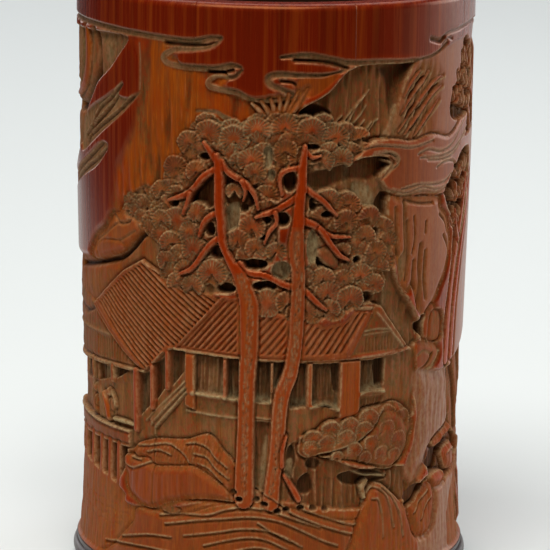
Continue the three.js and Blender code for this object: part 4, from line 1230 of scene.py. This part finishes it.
# %% Pines, a hut and a boat behind
pine(98, 84, 112, -5, 9, 4, half=1.4, size=2.7)
pine(228, 70, 104, 7, 10, 7, half=1.6, size=2.8)
hut(209, 44, 26, 24)
pine(172, 27, 84, -7, 13, 2, half=2.3, size=3.2)
pine(152, 25, 72, 6, 12, 5, half=2.1, size=3.2)
crag([(140, 12), (143, 22), (148, 28), (156, 31), (166, 30), (175, 31), (181, 25), (187, 20), (189, 12),
    (166, 9)], 5.8, 0.25, drop=0.7)
lay([(124.4, 24), (127, 21.4), (132, 20.2), (137, 20.6), (141, 23.6), (136.6, 22.8), (129, 22.8)], -0.1,
    wall=0.35, pillow=0.3, moat=0.9, gloss=0.9, ruddy=0.5)
lay([(128.4, 22.8), (129.4, 27.4), (133, 29), (136.6, 27), (137, 22.8)], -0.4, wall=0.4, moat=0.6,
    gloss=0.5)
ribs([(129, 23.4), (130, 27), (133, 28.2), (136, 26.6), (136.4, 23.4)], 90, 1.1, 0.3)

# %% The right edge of the front: a distant tree and a leaning trunk in a dark cleft
def tuft(s, z, size, opening_out, seed):
    """A spray of upright leaves, as on a distant tree: short strokes that fan out over a dark ground."""
    draw = np.random.default_rng(seed)
    for turn in np.linspace(-opening_out, opening_out, 3) + draw.uniform(-8, 8, 3):
        angle = math.radians(turn)
        long = size * draw.uniform(0.8, 1.2)
        tip = (s + long * math.sin(angle), z + long * math.cos(angle))
        bend = (s + 0.5 * long * math.sin(angle * 1.4), z + 0.5 * long * math.cos(angle))
        stroke([(s, z), bend, tip], [0.25, 0.6, 0.1], draw.uniform(-0.4, -0.15), crown=0.35, moat=1.1,
            gloss=0.95, dust=draw.uniform(0.0, 0.3), straw=0.3, ruddy=0.55)


# The ground behind the distant tree is painted dark: a painted shade.
lay([(56.4, 131), (60, 128.6), (67, 129), (73, 131), (77, 137), (74, 143), (69, 148.6), (65, 150),
    (63.6, 144), (61, 139.6), (57.6, 136)], -1.9, wall=1.0, grain=0.2, soot=0.6, gloss=0)
for number, (s, z, size) in enumerate(((66, 142, 6), (71, 141, 6), (63.4, 137.6, 5.6), (68.6, 136, 6),
        (73.4, 134.6, 5.6), (60.6, 132.6, 5.4), (65.6, 131, 5.6), (71, 130, 5.4))):
    tuft(s, z, size, 34, number)
lay([(63, 121.6), (70, 123), (84, 124), (90, 118), (91, 100), (88, 84), (84, 72), (76, 66), (66, 62.4),
    (62, 62), (63, 80), (66, 96), (68, 108)], -0.12, wall=0.6, gloss=1, straw=0.5, dust=0.1)
# The cleft is painted dark: a painted shade.
lay([(60.6, 116), (66, 119.6), (73, 119), (73.4, 112), (71, 104), (68, 96), (65, 86), (63, 76), (62, 62),
    (58.6, 61.6), (57.4, 74), (59.6, 86), (61, 94), (60, 101.6), (56.4, 106), (55, 110)], -2.6, wall=0.7,
    grain=0.25, soot=0.6, gloss=0)
for number, (s, z, size) in enumerate(((64, 112, 5.4), (69, 113, 5.6), (62.4, 106, 5.4), (67.6, 106, 6),
        (72.4, 108, 5), (62.6, 99, 5), (67, 99, 5.4))):
    tuft(s, z, size, 40, 20 + number)
branch([(72, 112), (69.6, 104), (66.4, 96), (63.4, 88), (61.4, 78), (60.4, 63)], [0.6, 0.8, 1.0, 1.1, 1.3,
    1.8], level=-0.25)
branch([(77, 110), (73.4, 102), (69.6, 94), (66.8, 86), (64.6, 76), (63.8, 63.4)],
    [0.6, 0.9, 1.0, 1.0, 1.1, 1.3], level=-0.1)
branch([(66.6, 95), (64, 99), (62.6, 104)], [0.8, 0.6, 0.3], level=-0.3)

# %% [markdown]
# ## Finish the sheet
# Three things are read off the finished sheet. Edges that stick out are the first to be rubbed
# pale; hollows are painted darker, a painted shade; and wherever nothing was cut, the skin keeps
# its polish. Short fibres are added to every cut surface, since a blade never leaves bamboo smooth.

# %% Limits, wear and polish
DEEPEST = 4.2
DEEPEST_LOW = 2.4  # near the foot, where the wall has to stay thick
PLAIN_FOOT = 16
near_end = smooth((row_z[:, None] - culm_low - 0.2) / 1.2) * smooth((row_z[-1] - 0.4 - row_z[:,
    None]) / 1.5)
torn = np.maximum(smooth((-height - 0.35) / 0.5), np.clip(0.9 - gloss, 0, 0.6))
height += torn * (0.055 * fine_fibre + 0.045 * chisel)
height *= near_end
deepest = DEEPEST_LOW + (DEEPEST - DEEPEST_LOW) * smooth((row_z[:, None] - PLAIN_FOOT) / 6)
height = np.clip(height, -deepest, 0)
near, wide = blurred(height, 0.75, 0.75), blurred(height, 2.6, 2.6)
worn = np.clip((height - near - 0.06) / 0.3, 0, 1) * (1 - 0.6 * ruddy)
# Cells lower than their neighbours are painted darker: a painted shade in the hollows.
painted_hollow_shade = np.clip((near - height - 0.04) / 0.4, 0, 1)
ruddy = np.maximum(ruddy, 0.75 * np.clip((height - wide - 0.1) / 0.7, 0, 1) * (1 - worn))
polish = np.maximum(smooth((height + 0.8) / 0.6) * np.clip(gloss, 0, 1), np.clip(gloss - 1, 0, 1))
soot = np.clip(soot, 0, 1)
dust = np.clip(dust + 0.16 * np.clip(1 - gloss, 0, 1) * (1 + 0.5 * split_fibre), 0, 1)
print("deepest cut", round(-float(height.min()), 2), "mm; skin left uncut",
    round(100 * float((height > -0.15).mean())), "%")

# %% [markdown]
# ## Wrap the sheet round the culm
# The wall is made in eight wedges that meet exactly, like staves. Each starts as a flat grid
# whose points are moved onto the outside, over the rounded lip and down the bore. Wedges keep
# each mesh light enough to handle, and points on a shared edge are worked out from the same
# numbers, so no joint shows. Four of them have a pocket for a nail.

# %% The line each column of points follows
ARC_OUT = 7
ARC_IN = 6
BORE_STEPS = 9
INNER_ROUND = 1.4
turn = np.linspace(0, math.pi / 2, ARC_OUT + 1)[1:]
lip = [(mouth_radius - lip_round * (1 - math.cos(t)),
    culm_high - lip_round * (1 - math.sin(t))) for t in turn]
turn = np.linspace(math.pi / 2, math.pi, ARC_IN + 1)
lip += [(bore_radius + INNER_ROUND * (1 + math.cos(t)),
    culm_high - INNER_ROUND * (1 - math.sin(t))) for t in turn]
down = np.linspace(culm_high - INNER_ROUND, culm_low, BORE_STEPS + 1)[1:]
lip += [(bore_radius, z) for z in down]
lip = np.array(lip)
print("points in a column", ROWS + len(lip))

# %% Nails' places, from the frame
nails = []
for name in sorted(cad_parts):
    if name.startswith("foot_nail"):
        low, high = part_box(name)
        nails.append((name, (low.x + high.x) / 2, (low.y + high.y) / 2, (high.x - low.x) / 2, low.z,
            high.z))
NAIL_GAP = 0.3 * MM
print("nails", len(nails), "radius", round(nails[0][3] / MM, 2), "mm")


# %% Eight wedges
POCKET_SIDES = 24
POCKET_WITHIN = 0.3  # radians round from a wedge's middle


def turn_between(x, y, middle):
    """The angle round the pot from a place to a wedge's middle."""
    turn = math.atan2(x, -y) - middle
    return abs(math.atan2(math.sin(turn), math.cos(turn)))


def store(mesh, name, on_grid, elsewhere):
    """Keeps one number for each point of a mesh, for the material to read."""
    values = np.full(len(mesh.vertices), elsewhere, np.float32)
    values[:len(on_grid)] = on_grid
    mesh.attributes.new(name, "FLOAT", "POINT").data.foreach_set("value", values)


def wedge(index):
    """One stave of the wall: its carved outside, its lip and its bore, closed all round."""
    across = COLUMNS // SECTORS
    first = index * across + across // 2
    columns = np.arange(first, first + across + 1) % COLUMNS
    angle = (column_s[0] + np.arange(first, first + across + 1) * girth / COLUMNS) / mouth_radius
    radius = np.vstack([skin_radius(row_z)[:, None] + height[:, columns], np.repeat(lip[:, :1], across + 1,
        axis=1)])
    level = np.concatenate([row_z, lip[:, 1]])[:, None] + np.zeros_like(radius)
    bpy.ops.object.select_all(action="DESELECT")
    bpy.ops.mesh.primitive_grid_add(x_subdivisions=across, y_subdivisions=len(radius) - 1, size=1)
    piece = bpy.context.active_object
    piece.name = f"carved_wall_{index + 1}"
    mesh = piece.data
    spots = np.stack([radius * np.sin(angle), -radius * np.cos(angle), level], -1).reshape(-1, 3) * MM
    mesh.vertices.foreach_set("co", spots.astype(np.float32).ravel())
    mesh.update()
    bpy.ops.object.mode_set(mode="EDIT")
    bpy.ops.mesh.select_mode(type="VERT")
    bpy.ops.mesh.select_all(action="SELECT")
    bpy.ops.mesh.faces_shade_smooth()
    grid_points = len(spots)
    width = across + 1
    for side in (0, across):
        bpy.ops.mesh.select_all(action="DESELECT")
        bpy.ops.object.mode_set(mode="OBJECT")
        chosen = np.zeros(grid_points, bool)
        chosen[side::width] = True
        mesh.vertices.foreach_set("select", chosen)
        bpy.ops.object.mode_set(mode="EDIT")
        bpy.ops.mesh.edge_face_add()
        bpy.ops.mesh.faces_shade_flat()
    middle = float(angle.mean())
    for name, x, y, nail_radius, low, high in nails:
        if turn_between(x, y, middle) < POCKET_WITHIN:
            bpy.ops.mesh.select_all(action="DESELECT")
            bpy.ops.mesh.primitive_circle_add(vertices=POCKET_SIDES, radius=nail_radius + NAIL_GAP,
                location=(x, y, culm_low * MM))
            rise = (0, 0, high + NAIL_GAP - culm_low * MM)
            bpy.ops.mesh.extrude_region_move(TRANSFORM_OT_translate={"value": rise})
            bpy.ops.mesh.edge_face_add()
            bpy.ops.mesh.faces_shade_flat()
    bpy.ops.mesh.select_all(action="DESELECT")
    bpy.ops.mesh.select_mode(type="EDGE")
    bpy.ops.mesh.select_non_manifold(extend=False, use_wire=False, use_boundary=True, use_multi_face=False,
        use_non_contiguous=False, use_verts=False)
    bpy.ops.mesh.fill(use_beauty=False)
    bpy.ops.mesh.faces_shade_flat()
    bpy.ops.mesh.select_mode(type="VERT")
    bpy.ops.mesh.select_all(action="SELECT")
    bpy.ops.mesh.normals_make_consistent(inside=False)
    bpy.ops.object.mode_set(mode="OBJECT")
    # The bore's points get 1, and the material paints the bore dark brown: partly its lining, partly
    # painted shade inside the mouth.
    inner = np.concatenate([np.zeros(ROWS + ARC_OUT), np.linspace(0, 1, ARC_IN + 1), np.ones(BORE_STEPS)])
    sheets = {"polish": polish, "worn": worn, "painted_hollow_shade": painted_hollow_shade, "straw": straw, "dust": dust, "soot": soot,
        "ruddy": ruddy}
    for name, sheet in sheets.items():
        outer = np.vstack([sheet[:, columns], np.repeat(sheet[-1:, columns], len(lip), axis=0)])
        store(mesh, name, outer.ravel(), 0)
    store(mesh, "inner", np.repeat(inner, width), 1)
    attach(piece, "root")
    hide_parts("culm_wall")
    return piece


wedges = [wedge(index) for index in range(SECTORS)]
print("wedges", len(wedges), "faces each", len(wedges[0].data.polygons))

# %% [markdown]
# ## Bamboo
# Old bamboo skin is deep red where hands have polished it, with long straw-brown fibres showing
# through. It reflects like varnish, because the skin is full of silica. Below the skin the wood
# is matt and brown. Edges are rubbed pale and grey dust lies on the cut wood; hollows are painted
# darker as painted shade, and deep cuts near black, partly old lacquer and partly painted shade.

# %% Bamboo material
bamboo, tree, shader = new_material("aged_carved_bamboo")
place = add(tree, "ShaderNodeTexCoord")
in_mm = add(tree, "ShaderNodeVectorMath", {"operation": "SCALE", "Scale": 1000},
    {0: place.outputs["Object"]})
sheet = {}
for name in ("polish", "worn", "painted_hollow_shade", "straw", "dust", "soot", "ruddy", "inner"):
    sheet[name] = add(tree, "ShaderNodeAttribute", {"attribute_name": name}).outputs["Fac"]
noise = {}
for name, size, detail in (("streak", (1.3, 1.3, 60), 4), ("fibre", (0.28, 0.28, 9), 3),
        ("cloud", (14, 14, 30), 3), ("speck", (0.9, 0.9, 1.4), 3), ("fleck", (1.3, 1.3, 2.6), 3),
        ("band", (4.5, 4.5, 140), 2)):
    scaled = add(tree, "ShaderNodeVectorMath", {"operation": "MULTIPLY", 1: [1 / v for v in size]},
        {0: in_mm.outputs[0]})
    noise[name] = add(tree, "ShaderNodeTexNoise", {"Scale": 1.0, "Detail": detail, "Roughness": 0.6},
        {"Vector": scaled.outputs[0]}).outputs["Fac"]


# %% Colour layers
# Each layer: colour, which sheet masks it, which noise breaks it up, from and to what noise
# value, and how much of the colour shows at those two values.
# Among the over layers, the dark brown one paints shade into hollows, the near-black one paints shade into
# deep cuts and gaps, partly as old lacquer, and the last paints the bore dark brown, partly its lining and
# partly painted shade.
LAYERS = {"cut": [("#9a6c36", None, "fibre", 0.45, 0.72, 0, 0.6), ("#55301a", None, "cloud", 0.45, 0.7, 0,
    0.55), ("#8f2f0e", None, "speck", 0.5, 0.62, 0, 0.75), ("#5a4420", None, "fleck", 0.5, 0.62, 0, 0.6)],
    "skin": [("#9a4210", None, "streak", 0.5, 0.78, 0, 0.75), ("#4a1004", None, "band", 0.5, 0.75, 0, 0.6)],
    "over": [("#9e4608", "straw", "streak", 0.3, 0.6, 0.3, 0.9), ("#c4660f", "straw", "fibre", 0.5, 0.72, 0,
    0.5), ("#a23205", "ruddy", "speck", 0.3, 0.6, 0.55, 0.95), ("#b8946a", "worn", "speck", 0.35, 0.6, 0.1,
    0.8), ("#33200f", "painted_hollow_shade", "speck", 0.3, 0.6, 0.75, 0.35), ("#a6946c", "dust", "speck", 0.35, 0.6, 0.3,
    0.85), ("#1a100a", "soot", "fibre", 0.3, 0.7, 0.95, 0.7), ("#2a1b12", "inner", "cloud", 0.0, 1.0, 1.0,
    1.0)]}
cut_colour = add(tree, "ShaderNodeRGB")
cut_colour.outputs[0].default_value = linear("#80451f")
skin_colour = add(tree, "ShaderNodeRGB")
skin_colour.outputs[0].default_value = linear("#701a05")
shown = {"cut": cut_colour.outputs[0], "skin": skin_colour.outputs[0]}
for group, layers in LAYERS.items():
    if group == "over":
        links = {0: sheet["polish"], 6: shown["cut"], 7: shown["skin"]}
        shown["over"] = add(tree, "ShaderNodeMix", {"data_type": "RGBA"}, links).outputs[2]
    for colour, mask, pattern, low, high, least, most in layers:
        share = add(tree, "ShaderNodeMapRange", {"From Min": low, "From Max": high, "To Min": least,
            "To Max": most}, {"Value": noise[pattern]})
        if mask:
            share = add(tree, "ShaderNodeMath", {"operation": "MULTIPLY"}, {0: share.outputs[0],
                1: sheet[mask]})
        links = {0: share.outputs[0], 6: shown[group]}
        shown[group] = add(tree, "ShaderNodeMix", {"data_type": "RGBA", 7: linear(colour)},
            links).outputs[2]
tree.links.new(shown["over"], shader.inputs["Base Color"])

# %% Shine and fibre
rough = add(tree, "ShaderNodeMapRange", {"To Min": 0.62, "To Max": 0.27}, {"Value": sheet["polish"]})
ripple = add(tree, "ShaderNodeMapRange", {"From Min": 0.3, "From Max": 0.7, "To Min": -0.04,
    "To Max": 0.05}, {"Value": noise["streak"]})
rough = add(tree, "ShaderNodeMath", {"operation": "ADD"}, {0: rough.outputs[0], 1: ripple.outputs[0]})
rough = add(tree, "ShaderNodeMath", {"operation": "MULTIPLY_ADD", 1: 0.3}, {0: sheet["dust"],
    2: rough.outputs[0]})
tree.links.new(rough.outputs[0], shader.inputs["Roughness"])
shader.inputs["IOR"].default_value = 1.5
shader.inputs["Specular Tint"].default_value = linear("#ffb070")
mirror = add(tree, "ShaderNodeMapRange", {"To Min": 0.14, "To Max": 0.5}, {"Value": sheet["polish"]})
tree.links.new(mirror.outputs[0], shader.inputs["Specular IOR Level"])
felt = add(tree, "ShaderNodeMapRange", {"To Min": 1.0, "To Max": 0.12}, {"Value": sheet["polish"]})
felt = add(tree, "ShaderNodeMath", {"operation": "MULTIPLY"}, {0: felt.outputs[0], 1: noise["fibre"]})
bump = add(tree, "ShaderNodeBump", {"Strength": 0.5, "Distance": 0.12 * MM}, {"Height": felt.outputs[0]})
tree.links.new(bump.outputs["Normal"], shader.inputs["Normal"])
finish_with(bamboo, wedges)
print("bamboo nodes", len(tree.nodes))

# %% [markdown]
# ## The foot, the floor and the nails
# The foot was turned on a lathe, so its outline is drawn once and spun about the pot's axis. Its
# corners are softened before spinning, as sandpaper would. The floor sits on a ledge inside.

# %% Turning
SPIN_STEPS = 160
SAME_POINT = 0.002 * MM


def pick(piece):
    """Makes one piece the only selected one, and the active one."""
    bpy.ops.object.select_all(action="DESELECT")
    piece.select_set(True)
    bpy.context.view_layer.objects.active = piece


def turned(name, outline, soften):
    """Spins a closed outline of (radius, height) in millimetres about the pot's axis."""
    mesh = bpy.data.meshes.new(name)
    spots = [(r * MM, 0, z * MM) for r, z in outline]
    mesh.from_pydata(spots, [(i, (i + 1) % len(spots)) for i in range(len(spots))], [])
    piece = bpy.data.objects.new(name, mesh)
    bpy.context.scene.collection.objects.link(piece)
    pick(piece)
    bpy.ops.object.mode_set(mode="EDIT")
    bpy.ops.mesh.select_all(action="SELECT")
    bpy.ops.mesh.bevel(offset=soften * MM, segments=3, affect="VERTICES")
    bpy.ops.mesh.select_all(action="SELECT")
    bpy.ops.mesh.spin(steps=SPIN_STEPS, angle=2 * math.pi, axis=(0, 0, 1), use_auto_merge=True)
    bpy.ops.mesh.select_all(action="SELECT")
    bpy.ops.mesh.remove_doubles(threshold=SAME_POINT)
    bpy.ops.mesh.normals_make_consistent(inside=False)
    bpy.ops.object.mode_set(mode="OBJECT")
    bpy.ops.object.shade_smooth_by_angle(angle=math.radians(40))
    return piece


# %% Foot ring
foot_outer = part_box("foot_ring")[1].x / MM
EYE = 37
STEP = 8
LEDGE = 4.6
COLLAR_IN, COLLAR_OUT, COLLAR_TOP = 42.1, 45.7, 13
BEAD = 2.2
BEAD_MIDDLE = 4.4
bead_turn = np.radians(np.linspace(-70, 70, 15))
bead = [(foot_outer - BEAD + BEAD * math.cos(t), BEAD_MIDDLE + BEAD * math.sin(t)) for t in bead_turn]
outline = [(EYE, 0), (foot_outer - 1.6, 0), *bead, (foot_outer - 1, 7), (foot_outer - 1, STEP)]
outline += [(COLLAR_OUT, STEP), (COLLAR_OUT, COLLAR_TOP), (COLLAR_IN, COLLAR_TOP)]
outline += [(COLLAR_IN, LEDGE), (EYE, LEDGE)]
foot = turned("hardwood_foot", outline, soften=0.18)
DRILL_SIDES = 32
DRILL_LONG = 14 * MM
for name, x, y, nail_radius, low, high in nails:
    bpy.ops.object.select_all(action="DESELECT")
    bpy.ops.mesh.primitive_cylinder_add(vertices=DRILL_SIDES, radius=nail_radius + NAIL_GAP,
        depth=DRILL_LONG, location=(x, y, 6 * MM))
    drill = bpy.context.active_object
    pick(foot)
    bpy.ops.object.modifier_add(type="BOOLEAN")
    foot.modifiers[-1].object = drill
    foot.modifiers[-1].solver = "EXACT"
    bpy.ops.object.modifier_apply(modifier=foot.modifiers[-1].name)
    bpy.data.objects.remove(drill)
bpy.ops.object.mode_set(mode="EDIT")
bpy.ops.mesh.select_all(action="SELECT")
bpy.ops.mesh.remove_doubles(threshold=SAME_POINT)
bpy.ops.object.mode_set(mode="OBJECT")
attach(foot, "root")
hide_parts("foot_ring")
print("foot faces", len(foot.data.polygons))

# %% Floor disc
CENTRE = 0.02  # a hair off the axis, so that no point of the spin falls on it
outline = [(CENTRE, 4.7), (41.2, 4.7), (41.8, 5.3), (41.8, 11.9), (41.2, 12.5), (CENTRE, 12.5)]
board = turned("hardwood_floor", outline, soften=0.15)
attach(board, "root")
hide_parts("floor_disc")

# %% Nails
PEG_SIDES = 20
POINT_SHARE = 0.42  # width of a nail's tip, as a share of its shaft
pegs = []
for name, x, y, nail_radius, low, high in nails:
    bpy.ops.object.select_all(action="DESELECT")
    bpy.ops.mesh.primitive_cylinder_add(vertices=PEG_SIDES, radius=nail_radius, depth=high - low,
        location=(x, y, (low + high) / 2))
    peg = bpy.context.active_object
    peg.name = name.replace("foot_nail", "bamboo_nail")
    bpy.ops.object.transform_apply(location=True, rotation=True, scale=True)
    bpy.ops.object.mode_set(mode="EDIT")
    bpy.ops.mesh.select_mode(type="VERT")
    bpy.ops.mesh.select_all(action="DESELECT")
    bpy.ops.object.mode_set(mode="OBJECT")
    for vertex in peg.data.vertices:
        vertex.select = vertex.co.z > high - 0.1 * MM
    bpy.ops.object.mode_set(mode="EDIT")
    bpy.ops.transform.resize(value=(POINT_SHARE, POINT_SHARE, 1), center_override=(x, y, high))
    bpy.ops.mesh.select_all(action="SELECT")
    bpy.ops.mesh.bevel(offset=0.12 * MM, segments=2)
    bpy.ops.object.mode_set(mode="OBJECT")
    bpy.ops.object.shade_smooth_by_angle(angle=math.radians(35))
    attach(peg, "root")
    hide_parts(name)
    pegs.append(peg)
print("pegs", [peg.name for peg in pegs])

# %% Dark hardwood
hardwood, tree, shader = new_material("oiled_dark_hardwood")
place = add(tree, "ShaderNodeTexCoord")
in_mm = add(tree, "ShaderNodeVectorMath", {"operation": "SCALE", "Scale": 1000},
    {0: place.outputs["Object"]})
pores_at = add(tree, "ShaderNodeVectorMath", {"operation": "MULTIPLY", 1: (1 / 30, 1 / 1.1, 1 / 1.1)},
    {0: in_mm.outputs[0]})
pores = add(tree, "ShaderNodeTexNoise", {"Scale": 1.0, "Detail": 5, "Roughness": 0.65},
    {"Vector": pores_at.outputs[0]})
dark = add(tree, "ShaderNodeMix", {"data_type": "RGBA", 6: linear("#1d0f0b"), 7: linear("#3d2017")},
    {0: pores.outputs["Fac"]})
tree.links.new(dark.outputs[2], shader.inputs["Base Color"])
shader.inputs["Roughness"].default_value = 0.38
shader.inputs["IOR"].default_value = 1.5
bump = add(tree, "ShaderNodeBump", {"Strength": 0.3, "Distance": 0.1 * MM},
    {"Height": pores.outputs["Fac"]})
tree.links.new(bump.outputs["Normal"], shader.inputs["Normal"])
finish_with(hardwood, [foot, board])

# %% Pale bamboo for the nails
pale, tree, shader = new_material("whittled_pale_bamboo")
place = add(tree, "ShaderNodeTexCoord")
in_mm = add(tree, "ShaderNodeVectorMath", {"operation": "SCALE", "Scale": 1000},
    {0: place.outputs["Object"]})
lines_at = add(tree, "ShaderNodeVectorMath", {"operation": "MULTIPLY", 1: (1 / 0.25, 1 / 0.25, 1 / 8)},
    {0: in_mm.outputs[0]})
lines = add(tree, "ShaderNodeTexNoise", {"Scale": 1.0, "Detail": 3}, {"Vector": lines_at.outputs[0]})
straw_colour = add(tree, "ShaderNodeMix", {"data_type": "RGBA", 6: linear("#8a6232"), 7: linear("#c19a5b")},
    {0: lines.outputs["Fac"]})
tree.links.new(straw_colour.outputs[2], shader.inputs["Base Color"])
shader.inputs["Roughness"].default_value = 0.6
finish_with(pale, pegs)
